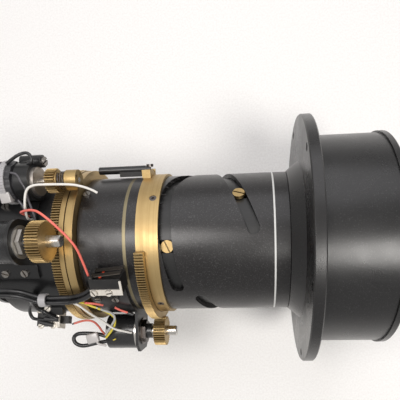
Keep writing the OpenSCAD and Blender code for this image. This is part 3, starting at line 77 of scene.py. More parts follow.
def polar(angle: float, radius: float) -> Centre:
    """Place in the YZ plane at an angle about the optical axis, counted from +Y towards +Z.

    Args:
        angle: Angle in degrees.
        radius: Distance from the optical axis, in metres.

    Returns:
        The place's Y and Z.
    """
    turn = math.radians(angle)
    return radius * math.cos(turn), radius * math.sin(turn)


FOCUS_POT_AXIS = polar(91.2, 58.0 * MM)
ZOOM_POT_AXIS = polar(182.0, 56.5 * MM)
FOCUS_MOTOR_ANGLE = 51.4
FOCUS_MOTOR_AXIS = polar(FOCUS_MOTOR_ANGLE, 53.75 * MM)
ZOOM_MOTOR_AXIS = polar(270.0, 54.0 * MM)


class Body(str, Enum):
    """Bodies of the frame that the pieces ride on."""

    BARREL = "barrel"
    FOCUS_DRIVE = "focus_drive"


class Slot(str, Enum):
    """The record's material slots."""

    BRIGHT_STEEL = "bright_steel"
    DARK_STEEL = "dark_steel"
    BLACK_PLASTIC = "black_plastic"
    CLIP = "clip_plastic"
    CABLE = "cable_black"
    LEAD = "lead_plastic"


# Node graphs


class Graph:
    """A node tree being wired, with short calls for its nodes and links."""

    def __init__(self, tree: bpy.types.NodeTree) -> None:
        """Takes the tree over.

        Args:
            tree: Tree of a material, world or node group.
        """
        self.tree = tree

    def add(self, kind: str, inputs: dict[Any, Any] | None = None, **settings: Any) -> bpy.types.Node:
        """Adds a node and sets its inputs.

        Args:
            kind: Node type without the ShaderNode prefix.
            inputs: Socket name or place to a value, or to an output socket that is linked to it.
            settings: Properties of the node.

        Returns:
            The new node.
        """
        node = self.tree.nodes.new(kind if kind.startswith("NodeGroup") else "ShaderNode" + kind)
        for name, value in settings.items():
            setattr(node, name, value)
        for name, value in (inputs or {}).items():
            if isinstance(value, Socket):
                self.tree.links.new(value, node.inputs[name])
            else:
                node.inputs[name].default_value = value
        return node

    def link(self, value: Socket, node: bpy.types.Node, name: str) -> None:
        """Links a socket to one of a node's inputs."""
        self.tree.links.new(value, node.inputs[name])

    def math(self, operation: str, *values: Any, clamp: bool = False) -> Socket:
        """Adds a Math node.

        Args:
            operation: The node's operation.
            values: Numbers or sockets.
            clamp: Whether the result stays between 0 and 1.

        Returns:
            The node's output.
        """
        return self.add("Math", dict(enumerate(values)), operation=operation, use_clamp=clamp).outputs[0]

    def remap(self, value: Socket, low: float, high: float, to_low: float, to_high: float) -> Socket:
        """Maps a range of values to another one, clamped.

        Args:
            value: Socket with the value.
            low: Start of the range.
            high: End of the range.
            to_low: What the start becomes.
            to_high: What the end becomes.

        Returns:
            Socket with the mapped value.
        """
        return self.add("MapRange", {0: value, 1: low, 2: high, 3: to_low, 4: to_high}).outputs[0]

    def mix(self, share: Any, low: Any, high: Any) -> Socket:
        """Mixes two colours.

        Args:
            share: Share of the second colour, a number or a socket.
            low: First colour, as three numbers or a socket.
            high: Second colour, as three numbers or a socket.

        Returns:
            Socket with the mixed colour.
        """
        def four(colour: Any) -> Any:
            """Adds a full alpha to a colour that is no socket."""
            return colour if isinstance(colour, Socket) else (*colour, 1.0)

        return self.add("Mix", {0: share, 6: four(low), 7: four(high)}, data_type="RGBA").outputs[2]

    def position(self, centre: Centre = AXIS) -> Socket:
        """Object coordinates, centred on an axis that runs along X.

        Args:
            centre: The axis's Y and Z.

        Returns:
            Socket with the coordinates.
        """
        place = self.add("TexCoord").outputs["Object"]
        if centre == AXIS:
            return place
        return self.add("Mapping", {"Vector": place, "Location": (0.0, -centre[0], -centre[1])}).outputs[0]


def new_group(name: str, inputs: dict[str, tuple[str, Any]],
              outputs: dict[str, str]) -> tuple[Graph, bpy.types.Node, bpy.types.Node]:
    """Makes an empty shader node group with its sockets.

    Args:
        name: Name of the group.
        inputs: Input name to its type and default value.
        outputs: Output name to its type.

    Returns:
        The group's graph, its input node and its output node.
    """
    tree = bpy.data.node_groups.new(name, "ShaderNodeTree")
    for label, (kind, value) in inputs.items():
        socket = tree.interface.new_socket(label, in_out="INPUT", socket_type="NodeSocket" + kind)
        if value is not None:
            socket.default_value = value
    for label, kind in outputs.items():
        tree.interface.new_socket(label, in_out="OUTPUT", socket_type="NodeSocket" + kind)
    graph = Graph(tree)
    return graph, graph.add("NodeGroupInput"), graph.add("NodeGroupOutput")


class Effects:
    """Shader node groups that several finishes share."""

    patches: dict[str, float] = {"Scale": 420.0, "Detail": 3.0}
    patch_shares: tuple[float, float] = (0.25, 1.0)
    fine_lines: dict[str, float] = {"Scale": 1.0, "Detail": 3.0, "Roughness": 0.6}
    fine_share: float = 0.6
    broad_lines: dict[str, float] = {"Scale": 0.12, "Detail": 2.0}
    broad_share: float = 0.4
    grains: dict[str, float] = {"Detail": 2.0, "Roughness": 0.7}
    grain_tips: tuple[float, float] = (0.56, 0.72)
    smears: dict[str, float] = {"Detail": 5.0, "Roughness": 0.62, "Distortion": 0.4}
    smear_range: tuple[float, float] = (0.38, 0.68)

    def __init__(self) -> None:
        """Builds each group once."""
        self.edges = self._edges()
        self.turning = self._turning()
        self.grain = self._grain()
        self.smudge = self._smudge()

    def _edges(self) -> bpy.types.NodeTree:
        """Worn edges: a mask that is bright where a rounded normal leaves the true one, broken up by noise.

        Returns:
            The group's tree.
        """
        graph, given, out = new_group(
            "edge_wear",
            {"Vector": ("Vector", None), "Radius": ("Float", 0.0003), "Gain": ("Float", 3.0)},
            {"Mask": "Float", "Normal": "Vector"})
        bevel = graph.add("Bevel", {"Radius": given.outputs["Radius"]}, samples=NEAR_SAMPLES)
        true = graph.add("NewGeometry").outputs["Normal"]
        dot = graph.add("VectorMath", {0: bevel.outputs[0], 1: true}, operation="DOT_PRODUCT")
        away = graph.math("SUBTRACT", 1.0, dot.outputs["Value"])
        bend = graph.math("MULTIPLY", away, given.outputs["Gain"], clamp=True)
        patches = graph.add("TexNoise", {"Vector": given.outputs["Vector"], **self.patches})
        share = graph.remap(patches.outputs[0], *NOISE_MIDDLE, *self.patch_shares)
        graph.link(graph.math("MULTIPLY", bend, share), out, "Mask")
        graph.link(bevel.outputs[0], out, "Normal")
        return graph.tree

    def _turning(self) -> bpy.types.NodeTree:
        """Lathe marks round an axis along X: fine lines that hardly change with the angle.

        Returns:
            The group's tree.
        """
        graph, given, out = new_group(
            "turning_marks",
            {"Vector": ("Vector", None), "Lines": ("Float", 6000.0), "Sweep": ("Float", 1.5)},
            {"Tone": "Float", "Height": "Float"})
        parts = graph.add("SeparateXYZ", {0: given.outputs["Vector"]}).outputs
        squares = [graph.math("MULTIPLY", parts[i], parts[i]) for i in (1, 2)]
        radius = graph.math("SQRT", graph.math("ADD", *squares))
        angle = graph.math("MULTIPLY", graph.math("ARCTAN2", parts[2], parts[1]), given.outputs["Sweep"])
        lines = given.outputs["Lines"]
        place = graph.add("CombineXYZ", {0: graph.math("MULTIPLY", parts[0], lines),
                                         1: graph.math("MULTIPLY", radius, lines), 2: angle}).outputs[0]
        fine = graph.add("TexNoise", {"Vector": place, **self.fine_lines}).outputs[0]
        broad = graph.add("TexNoise", {"Vector": place, **self.broad_lines}).outputs[0]
        tone = graph.math("ADD", graph.math("MULTIPLY", fine, self.fine_share),
                          graph.math("MULTIPLY", broad, self.broad_share))
        graph.link(tone, out, "Tone")
        graph.link(fine, out, "Height")
        return graph.tree

    def _grain(self) -> bpy.types.NodeTree:
        """Fine grain of a blasted or moulded surface.

        Returns:
            The group's tree.
        """
        graph, given, out = new_group(
            "fine_grain",
            {"Vector": ("Vector", None), "Scale": ("Float", 2500.0)},
            {"Height": "Float", "Sparkle": "Float"})
        noise = graph.add("TexNoise", {"Vector": given.outputs["Vector"], "Scale": given.outputs["Scale"],
                                       **self.grains}).outputs[0]
        graph.link(noise, out, "Height")
        graph.link(graph.remap(noise, *self.grain_tips, 0.0, 1.0), out, "Sparkle")
        return graph.tree

    def _smudge(self) -> bpy.types.NodeTree:
        """Broad uneven patches, such as handling leaves on metal and dust on plastic.

        Returns:
            The group's tree.
        """
        graph, given, out = new_group(
            "smudges",
            {"Vector": ("Vector", None), "Scale": ("Float", 60.0)},
            {"Mask": "Float"})
        broad = graph.add("TexNoise", {"Vector": given.outputs["Vector"], "Scale": given.outputs["Scale"],
                                       **self.smears}).outputs[0]
        graph.link(graph.remap(broad, *self.smear_range, 0.0, 1.0), out, "Mask")
        return graph.tree


# Finishes


@dataclass(frozen=True)
class Work:
    """A material being made.

    Attributes:
        graph: Its node tree.
        shader: Its Principled node.
        effects: Shared node groups.
        place: Object coordinates, centred on the axis that a turned pattern runs round.
    """

    graph: Graph
    shader: bpy.types.Node
    effects: Effects
    place: Socket

    def feed(self, name: str, value: Any) -> None:
        """Sets one of the shader's inputs, or links a socket to it.

        Args:
            name: Name of the input.
            value: A value, or an output socket.
        """
        if isinstance(value, Socket):
            self.graph.link(value, self.shader, name)
        else:
            self.shader.inputs[name].default_value = value

    def layer(self, tree: bpy.types.NodeTree, **inputs: float) -> bpy.types.NodeOutputs:
        """Lays one of the shared groups over the piece.

        Args:
            tree: The group's tree.
            inputs: Its own values.

        Returns:
            The group's outputs.
        """
        return self.graph.add("Group", {"Vector": self.place, **inputs}, node_tree=tree).outputs

    def bump(self, height: Socket, depth: float, normal: Socket | None = None) -> None:
        """Wires a relief into the shader's normal.

        Args:
            height: Height between 0 and 1.
            depth: Depth of the relief, in metres.
            normal: Normal that the relief is laid on.
        """
        inputs: dict[Any, Any] = {"Height": height, "Distance": depth, "Strength": 1.0}
        if normal is not None:
            inputs["Normal"] = normal
        self.feed("Normal", self.graph.add("Bump", inputs).outputs[0])


@dataclass(frozen=True)
class Finish:
    """A surface finish that makes a procedural material.

    Attributes:
        name: Name of its material.
        colour: Base colour.
        roughness: Mean roughness.
        edge: Radius that edges look rounded to, in metres.
        edge_gain: How fast the wear grows where a surface bends.
        edge_share: How much of the worn colour an edge takes at most.
        smudges: Smudges to a metre.
        spread: What is added to the roughness where it is clean and where it is smudged.
    """

    name: str
    colour: Colour
    roughness: float
    edge: float = 0.0002
    edge_gain: float = 2.2
    edge_share: float = 0.5
    smudges: float = 45.0
    spread: tuple[float, float] = (-0.03, 0.04)

    def title(self, centre: Centre) -> str:
        """Name of the material for a piece round the centre."""
        return self.name

    def material(self, effects: Effects, centre: Centre = AXIS) -> bpy.types.Material:
        """Makes the material.

        Args:
            effects: Shared node groups.
            centre: Y and Z of the axis that a turned pattern runs round.

        Returns:
            The material.
        """
        made = bpy.data.materials.new(self.title(centre))
        made.use_nodes = True
        made.diffuse_color = (*self.colour, 1.0)
        graph = Graph(made.node_tree)
        work = Work(graph, made.node_tree.nodes["Principled BSDF"], effects, graph.position(centre))
        work.feed("Base Color", (*self.colour, 1.0))
        work.feed("Roughness", self.roughness)
        self.paint(work)
        return made

    def paint(self, work: Work) -> None:
        """Wires the finish into the material."""
        raise NotImplementedError

    def smudge(self, work: Work) -> Socket:
        """Lays the smudges over the piece and gives their mask."""
        return work.layer(work.effects.smudge, Scale=self.smudges)["Mask"]

    def edges(self, work: Work) -> bpy.types.NodeOutputs:
        """Lays the worn edges over the piece and gives their mask and normal."""
        return work.layer(work.effects.edges, Radius=self.edge, Gain=self.edge_gain)

    def wear(self, work: Work, mask: Socket, colour: Any, worn: Any) -> Socket:
        """Gives a colour that turns into the worn one along the edges."""
        return work.graph.mix(work.graph.math("MULTIPLY", mask, self.edge_share), colour, worn)

    def roughen(self, work: Work, smudge: Socket) -> None:
        """Gives the shader the roughness that the smudges leave."""
        clean, smudged = (self.roughness + more for more in self.spread)
        work.feed("Roughness", work.graph.remap(smudge, 0.0, 1.0, clean, smudged))


@dataclass(frozen=True)
class Anodised(Finish):
    """Blasted and dyed aluminium, matt with a fine sparkle.

    Attributes:
        worn: Colour of bare edges.
        sparkle: How much brighter the grains are.
        sparkle_share: How much of that shows.
        relief: Depth of the grain, in metres.
        grain: Grains to a metre.
    """

    worn: Colour = (0.16, 0.155, 0.15)
    sparkle: float = 0.1
    sparkle_share: float = 0.5
    relief: float = 0.00004
    grain: float = 1500.0

    def tone(self, work: Work, grain: bpy.types.NodeOutputs) -> Socket:
        """Gives the dyed metal's colour, brighter on the grains."""
        lit = tuple(c + self.sparkle for c in self.colour)
        share = work.graph.math("MULTIPLY", grain["Sparkle"], self.sparkle_share)
        return work.graph.mix(share, self.colour, lit)

    def paint(self, work: Work) -> None:
        """Wires the grain, the smudges and the bare edges.

        Args:
            work: The material being made.
        """
        grain = work.layer(work.effects.grain, Scale=self.grain)
        smudge = self.smudge(work)
        edges = self.edges(work)
        work.feed("Base Color", self.wear(work, edges["Mask"], self.tone(work, grain), self.worn))
        self.roughen(work, smudge)
        work.bump(grain["Height"], self.relief, edges["Normal"])


@dataclass(frozen=True)
class Lined(Anodised):
    """Anodised aluminium with a painted line round the piece.

    Attributes:
        line_at: Place of the line along X.
        line_width: Its width, in metres.
        line_fade: Width of its soft rim, in metres.
        line_colour: Colour of its paint.
    """

    line_at: float = 0.0
    line_width: float = 0.001
    line_fade: float = 0.00006
    line_colour: Colour = (0.7, 0.7, 0.68)

    def wear(self, work: Work, mask: Socket, colour: Any, worn: Any) -> Socket:
        """Gives the worn colour with the line over it.

        Args:
            work: The material being made.
            mask: Mask of the worn edges.
            colour: Colour of the metal.
            worn: Colour of the edges.

        Returns:
            Socket with the colour.
        """
        graph = work.graph
        metal = super().wear(work, mask, colour, worn)
        along = graph.add("SeparateXYZ", {0: work.place}).outputs[0]
        off = graph.math("ABSOLUTE", graph.math("ADD", along, -self.line_at))
        rim = self.line_width / 2
        return graph.mix(graph.remap(off, rim - self.line_fade, rim, 1.0, 0.0), metal, self.line_colour)


@dataclass(frozen=True)
class TurnedMetal(Finish):
    """Bare metal from the lathe, with marks round its axis.

    Attributes:
        dull: Colour where the metal is tarnished.
        dull_share: How much of that the marks show.
        smudge_share: How much of that the smudges show.
        edge_lift: What the colour is multiplied by, and what is added to it, on bare edges.
        lines: Marks to a metre of radius or length.
        relief: Depth of the marks, in metres.
        mark_spread: How much the marks take from the roughness or add to it.
        smudge_roughness: What the smudges add to the roughness.
        metal: How metallic it is.
        gap_shade: Colour of the painted shade in narrow gaps.
        gap: Width of those gaps, in metres.
        gap_range: Shares of open sky at which the painted shade is full and gone.
    """

    edge: float = 0.0001
    edge_gain: float = 2.0
    edge_share: float = 0.6
    smudges: float = 70.0
    dull: Colour = (0.3, 0.2, 0.1)
    dull_share: float = 0.7
    smudge_share: float = 0.35
    edge_lift: tuple[float, float] = (1.25, 0.05)
    lines: float = 5000.0
    relief: float = 0.000012
    mark_spread: float = 0.06
    smudge_roughness: float = 0.08
    metal: float = 1.0
    # Colour of the painted shade in narrow gaps
    gap_shade: Colour = (0.03, 0.02, 0.01)
    gap: float = 0.0012
    gap_range: tuple[float, float] = (0.35, 0.85)

    def title(self, centre: Centre) -> str:
        """Name of the material for a piece round the centre."""
        return f"{self.name}_{centre[0] / MM:.0f}_{centre[1] / MM:.0f}"

    def paint(self, work: Work) -> None:
        """Wires the marks, the tarnish, the bare edges and the painted shade in narrow gaps.

        Args:
            work: The material being made.
        """
        graph = work.graph
        marks = work.layer(work.effects.turning, Lines=self.lines)
        smudge = self.smudge(work)
        edges = self.edges(work)
        tarnish = graph.remap(marks["Tone"], *NOISE_MIDDLE, 0.0, self.dull_share)
        colour = graph.mix(tarnish, self.colour, self.dull)
        colour = graph.mix(graph.math("MULTIPLY", smudge, self.smudge_share), colour, self.dull)
        gain, lift = self.edge_lift
        bright = tuple(min(1.0, c * gain + lift) for c in self.colour)
        colour = self.wear(work, edges["Mask"], colour, bright)
        # Painted shade: where ambient occlusion finds little open sky, in narrow gaps such as between gear
        # teeth, the colour darkens.
        sky = graph.add("AmbientOcclusion", {"Distance": self.gap}, samples=NEAR_SAMPLES, only_local=True)
        gap_shade = graph.remap(sky.outputs["AO"], *self.gap_range, 1.0, 0.0)
        work.feed("Base Color", graph.mix(gap_shade, colour, self.gap_shade))
        work.feed("Metallic", self.metal)
        low, high = self.roughness - self.mark_spread, self.roughness + self.mark_spread
        rough = graph.remap(marks["Tone"], *MARK_MIDDLE, low, high)
        smudged = graph.math("MULTIPLY", smudge, self.smudge_roughness)
        work.feed("Roughness", graph.math("ADD", rough, smudged))
        work.bump(marks["Height"], self.relief)


@dataclass(frozen=True)
class Moulded(Finish):
    """Moulded plastic or rubber with a faint grain.

    Attributes:
        dusty: Colour of the dust and scuffs on it.
        dust: How much of that shows.
        grain: Grains to a metre.
        relief: Depth of the grain, in metres.
        coat: Weight of a clear coat, for glossy plastic.
        coat_roughness: Roughness of that coat.
    """

    edge_gain: float = 1.5
    edge_share: float = 0.25
    smudges: float = 110.0
    spread: tuple[float, float] = (-0.05, 0.08)
    dusty: Colour = (0.2, 0.19, 0.18)
    dust: float = 0.3
    grain: float = 1200.0
    relief: float = 0.00002
    coat: float = 0.0
    coat_roughness: float = 0.15

    def paint(self, work: Work) -> None:
        """Wires the grain, the dust and the scuffed edges.

        Args:
            work: The material being made.
        """
        grain = work.layer(work.effects.grain, Scale=self.grain)
        smudge = self.smudge(work)
        edges = self.edges(work)
        colour = work.graph.mix(work.graph.math("MULTIPLY", smudge, self.dust), self.colour, self.dusty)
        work.feed("Base Color", self.wear(work, edges["Mask"], colour, self.dusty))
        self.roughen(work, smudge)
        work.feed("Coat Weight", self.coat)
        work.feed("Coat Roughness", self.coat_roughness)
        work.bump(grain["Height"], self.relief, edges["Normal"])


@dataclass(frozen=True)
class CoatedLens(Finish):
    """Dark infrared lens with a coloured coating.

    Attributes:
        tint: Colour of the coating seen at a slant.
        slant: Blend of the layer weight that mixes it in.
        metal: How metallic it is.
        coat: Weight of its clear coat.
        coat_roughness: Roughness of that coat.
    """

    smudges: float = 30.0
    spread: tuple[float, float] = (0.0, 0.05)
    tint: Colour = (0.2, 0.12, 0.22)
    slant: float = 0.35
    metal: float = 0.75
    coat: float = 0.6
    coat_roughness: float = 0.04

    def paint(self, work: Work) -> None:
        """Wires the coating and the smudges.

        Args:
            work: The material being made.
        """
        facing = work.graph.add("LayerWeight", {"Blend": self.slant}).outputs["Facing"]
        work.feed("Base Color", work.graph.mix(facing, self.colour, self.tint))
        self.roughen(work, self.smudge(work))
        work.feed("Metallic", self.metal)
        work.feed("Coat Weight", self.coat)
        work.feed("Coat Roughness", self.coat_roughness)


BLACK_BARREL: dict[str, Any] = {"colour": (0.0075, 0.0065, 0.0068), "roughness": 0.31}

FINISHES: dict[str, Finish] = {
    "barrel": Anodised("black_anodised", **BLACK_BARREL),
    "sleeve": Lined("black_anodised_with_line", line_at=-15.6 * MM, **BLACK_BARREL),
    "hood": Anodised("black_anodised_hood", (0.0085, 0.0082, 0.0086), 0.3, relief=0.000026, sparkle=0.05),
    "flange": Anodised("black_anodised_flange", (0.01, 0.0095, 0.0098), 0.28, relief=0.00002, sparkle=0.03),
    "bracket": Anodised("black_anodised_bracket", (0.007, 0.007, 0.0075), 0.32, relief=0.000005, sparkle=0.02,
                        worn=(0.22, 0.21, 0.2)),
    "inside": Anodised("black_anodised_inside", (0.006, 0.006, 0.006), 0.4, relief=0.00001, sparkle=0.02),
    "brass": TurnedMetal("brass", (0.49, 0.36, 0.17), 0.41, edge=0.00015, dull=(0.36, 0.245, 0.11)),
    "khaki_brass": TurnedMetal("khaki_brass", (0.27, 0.235, 0.15), 0.45, edge=0.00005,
                               dull=(0.19, 0.16, 0.1)),
    "steel": TurnedMetal("bright_steel", (0.66, 0.64, 0.61), 0.22, dull=(0.42, 0.4, 0.37)),
    "nut_steel": TurnedMetal("plated_nut", (0.62, 0.6, 0.57), 0.42, dull=(0.45, 0.43, 0.4)),
    "dark_steel": TurnedMetal("dark_steel", (0.16, 0.14, 0.13), 0.28, dull=(0.1, 0.09, 0.085)),
    "screw_steel": TurnedMetal("screw_steel", (0.4, 0.38, 0.35), 0.2, dull=(0.1, 0.09, 0.085), metal=0.8),
    "bright_screw": TurnedMetal("bright_screw", (0.86, 0.82, 0.75), 0.3, edge=0.00008, dull=(0.62, 0.57, 0.5),
                                metal=0.35),
    "lever_steel": TurnedMetal("lever_steel", (0.2, 0.18, 0.155), 0.3, dull=(0.09, 0.075, 0.065)),
    "motor_face": TurnedMetal("motor_face", (0.5, 0.46, 0.42), 0.42, dull=(0.36, 0.33, 0.3)),
    "tin": TurnedMetal("tinned_steel", (0.74, 0.69, 0.62), 0.34, dull=(0.55, 0.5, 0.42), metal=0.6),
    "pot_case": Moulded("pot_case", (0.009, 0.009, 0.0095), 0.26,
                        dusty=(0.08, 0.08, 0.085), dust=0.12, coat=0.2),
    "shrink_wrap": Moulded("shrink_wrap", (0.03, 0.03, 0.033), 0.42, dusty=(0.075, 0.075, 0.08),
                           grain=260.0, relief=0.0001),
    "switch_case": Moulded("switch_case", (0.007, 0.007, 0.007), 0.42, dusty=(0.07, 0.065, 0.06), dust=0.1),
    "red_button": Moulded("red_button", (0.62, 0.07, 0.03), 0.3, dusty=(0.4, 0.1, 0.06), dust=0.15),
    "nylon": Moulded("grey_nylon", (0.44, 0.43, 0.44), 0.38, dusty=(0.3, 0.29, 0.29), dust=0.4, grain=500.0),
    "cable": Moulded("black_cable", (0.01, 0.01, 0.011), 0.3, dusty=(0.09, 0.09, 0.095), dust=0.18,
                     grain=700.0),
    "boot": Moulded("black_boot", (0.014, 0.014, 0.015), 0.45, dusty=(0.1, 0.1, 0.105),
                    grain=500.0, relief=0.00006),
    "speck": Moulded("yellow_speck", (0.6, 0.47, 0.05), 0.4, dusty=(0.4, 0.3, 0.06), dust=0.4),
    "grey_cable": Moulded("grey_cable", (0.075, 0.07, 0.08), 0.34, dusty=(0.16, 0.155, 0.165)),
    "white_lead": Moulded("white_lead", (0.8, 0.78, 0.74), 0.4, dusty=(0.62, 0.59, 0.53)),
    "red_lead": Moulded("red_lead", (0.86, 0.17, 0.13), 0.36, dusty=(0.7, 0.22, 0.17)),
    "dull_red_lead": Moulded("dull_red_lead", (0.62, 0.14, 0.1), 0.4, dusty=(0.45, 0.16, 0.12)),
    "yellow_lead": Moulded("yellow_lead", (0.72, 0.6, 0.06), 0.4, dusty=(0.55, 0.45, 0.1)),
    "grey_lead": Moulded("grey_lead", (0.5, 0.5, 0.49), 0.4, dusty=(0.36, 0.36, 0.35)),
    "clear_nylon": Moulded("clear_nylon", (0.52, 0.5, 0.49), 0.3, dusty=(0.4, 0.39, 0.38),
                           grain=500.0, coat=0.3),
    "wire_tip": Moulded("tinned_tip", (0.75, 0.73, 0.68), 0.3, dusty=(0.6, 0.57, 0.5)),
    "lens": CoatedLens("coated_lens", (0.05, 0.055, 0.05), 0.06),
}


class Paintbox:
    """Makes each finish's material once for each centre that it is turned round."""

    def __init__(self) -> None:
        """Starts with the shared node groups and no material."""
        self.effects = Effects()
        self.made: dict[tuple[str, Centre], bpy.types.Material] = {}

    def get(self, name: str, centre: Centre = AXIS) -> bpy.types.Material:
        """Gives a finish's material.

        Args:
            name: Key in FINISHES.
            centre: Y and Z of the axis that a turned pattern runs round.

        Returns:
            The material.
        """
        key = (name, centre if isinstance(FINISHES[name], TurnedMetal) else AXIS)
        if key not in self.made:
            self.made[key] = FINISHES[name].material(self.effects, key[1])
        return self.made[key]


def dress(node: str, material: bpy.types.Material) -> None:
    """Gives a CAD node its material.

    Args:
        node: Name of the node.
        material: Its finished material.
    """
    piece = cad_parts[node]
    piece.data.materials.clear()
    piece.data.materials.append(material)
    log.info("dressed %s with %s", node, material.name)


# Modelling


def settle(piece: bpy.types.Object, name: str, material: bpy.types.Material, body: Body) -> None:
    """Puts a finished piece's place into its mesh, and gives it its name, material and body.

    Args:
        piece: The modelled object.
        name: Its name.
        material: Its material.
        body: Body that it rides on.
    """
    piece.name = name
    piece.data.name = name
    piece.data.transform(piece.matrix_world)
    piece.matrix_world = Matrix.Identity(4)
    piece.data.materials.clear()
    piece.data.materials.append(material)
    bpy.ops.object.select_all(action="DESELECT")
    piece.select_set(True)
    bpy.context.view_layer.objects.active = piece
    bpy.ops.object.shade_smooth_by_angle(angle=SMOOTH_ANGLE)
    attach(piece, body.value)
    log.info("built %s, %d faces", name, len(piece.data.polygons))


def smooth_route(points: Sequence[Point], steps: int = 8) -> list[Vector]:
    """Points of a smooth curve through a route's points.

    Args:
        points: The route, in metres.
        steps: Points for each stretch.

    Returns:
        The curve's points.
    """
    route = [Vector(p) for p in points]
    route = [2 * route[0] - route[1], *route, 2 * route[-1] - route[-2]]
    made: list[Vector] = []
    for a, b, c, d in zip(route, route[1:], route[2:], route[3:]):
        for k in range(steps):
            t = k / steps
            made.append(0.5 * (2 * b + (c - a) * t + (2 * a - 5 * b + 4 * c - d) * t * t
                               + (3 * b - a - 3 * c + d) * t * t * t))
    made.append(route[-2])
    return made


def millimetres(*points: Point) -> list[Point]:
    """Points or sizes given in millimetres, in metres."""
    return [(x * MM, y * MM, z * MM) for x, y, z in points]


def cable(points: Sequence[Vector], diameter: float, sides: int = 4) -> bpy.types.Object:
    """Round cable along a curve, with closed ends.

    Args:
        points: The curve's points.
        diameter: Its diameter.
        sides: Resolution of its section.

    Returns:
        A mesh object.
    """
    curve = bpy.data.curves.new("cable", "CURVE")
    curve.dimensions = "3D"
    curve.bevel_depth = diameter / 2
    curve.bevel_resolution = sides
    curve.use_fill_caps = True
    spline = curve.splines.new("POLY")
    spline.points.add(len(points) - 1)
    for point, place in zip(spline.points, points):
        point.co = (*place, 1.0)
    piece = bpy.data.objects.new("cable", curve)
    bpy.context.scene.collection.objects.link(piece)
    bpy.ops.object.select_all(action="DESELECT")
    piece.select_set(True)
    bpy.context.view_layer.objects.active = piece
    bpy.ops.object.convert(target="MESH")
    return bpy.context.view_layer.objects.active


def pick(piece: bpy.types.Object, wanted: Callable[[bpy.types.MeshPolygon], bool]) -> None:
    """Selects the faces that pass a test, and stays in edit mode.

    Args:
        piece: A mesh object that is active.
        wanted: Says whether a face is to be selected.
    """
    bpy.ops.object.mode_set(mode="EDIT")
    bpy.ops.mesh.select_mode(type="FACE")
    bpy.ops.mesh.select_all(action="DESELECT")
    bpy.ops.object.mode_set(mode="OBJECT")
    for face in piece.data.polygons:
        face.select = wanted(face)
    bpy.ops.object.mode_set(mode="EDIT")


def start_cylinder(radius: float, depth: float, place: Point, turn: Point = (0.0, 0.0, 0.0), sides: int = 48,
                   ends: str = "NGON") -> bpy.types.Object:
    """Adds a cylinder at its size and place.

    Args:
        radius: Its radius.
        depth: Its length.
        place: Its centre.
        turn: Its turn about X, Y and Z.
        sides: Facets round it.
        ends: How its ends are filled.

    Returns:
        The active object.
    """
    bpy.ops.object.select_all(action="DESELECT")
    bpy.ops.mesh.primitive_cylinder_add(vertices=sides, radius=radius, depth=depth, end_fill_type=ends,
                                        location=place, rotation=turn)
    return bpy.context.view_layer.objects.active


def finish_normals() -> None:
    """Turns all faces of the edited mesh outwards and leaves edit mode."""
    bpy.ops.mesh.select_all(action="SELECT")
    bpy.ops.mesh.normals_make_consistent(inside=False)
    bpy.ops.object.mode_set(mode="OBJECT")


def rounded_block(size: Point, place: Point, turn: Point, radius: float) -> bpy.types.Object:
    """Adds a block with rounded edges.

    Args:
        size: Its three lengths.
        place: Its centre.
        turn: Its turn about X, Y and Z.
        radius: Radius of its edges.

    Returns:
        The active object.
    """
    bpy.ops.object.select_all(action="DESELECT")
    bpy.ops.mesh.primitive_cube_add(size=1.0, location=place, rotation=turn)
    piece = bpy.context.view_layer.objects.active
    bpy.ops.object.mode_set(mode="EDIT")
    bpy.ops.mesh.select_all(action="SELECT")
    bpy.ops.transform.resize(value=size, orient_type="LOCAL")
    bpy.ops.mesh.bevel(offset=radius, segments=BLOCK_SEGMENTS, affect="EDGES")
    finish_normals()
    return piece


def cut(piece: bpy.types.Object, size: Point, place: Point, turn: Point) -> None:
    """Cuts a block out of a piece.

    Args:
        piece: The piece.
        size: The block's three lengths.
        place: Its centre.
        turn: Its turn about X, Y and Z.
    """
    tool = rounded_block(size, place, turn, CUT_EDGE)
    bpy.ops.object.select_all(action="DESELECT")
    bpy.context.view_layer.objects.active = piece
    piece.select_set(True)
    slot = piece.modifiers.new("slot", "BOOLEAN")
    slot.operation = "DIFFERENCE"
    slot.object = tool
    bpy.ops.object.modifier_apply(modifier=slot.name)
    bpy.data.objects.remove(tool)


# Sub-assemblies


@dataclass
class Barrel:
    """Barrel, flange, hood and optics: all of them solids of the frame that only need their finish."""

    finishes: dict[str, str] = field(default_factory=lambda: {
        "mounting_flange": "flange", "hood": "hood", "lip_ring": "hood", "objective": "lens",
        "guide_tube": "inside", "thrust_collar": "barrel", "spacer_ring": "khaki_brass",
        "rear_barrel": "barrel", "barrel_screws": "screw_steel", "rear_housing": "bracket",
        "housing_screws": "screw_steel", "rear_mount": "flange", "rear_lens": "lens", "rear_keeper": "inside",
        "cam_sleeve": "sleeve", "zoom_ring": "brass", "zoom_ring_screws": "dark_steel",
        "striker_boss": "brass", "striker_rod": "bracket", "front_cell": "inside", "front_lens": "lens",
        "front_followers": "brass", "rear_cell": "inside", "compensator_lens": "lens",
        "rear_followers": "brass", "focus_ring": "brass", "focus_cell": "inside", "focus_lens": "lens",
    })

    def dress(self, paint: Paintbox) -> None:
        """Gives each solid its material.

        Args:
            paint: Makes the materials.
        """
        for node, finish in self.finishes.items():
            dress(node, paint.get(finish))


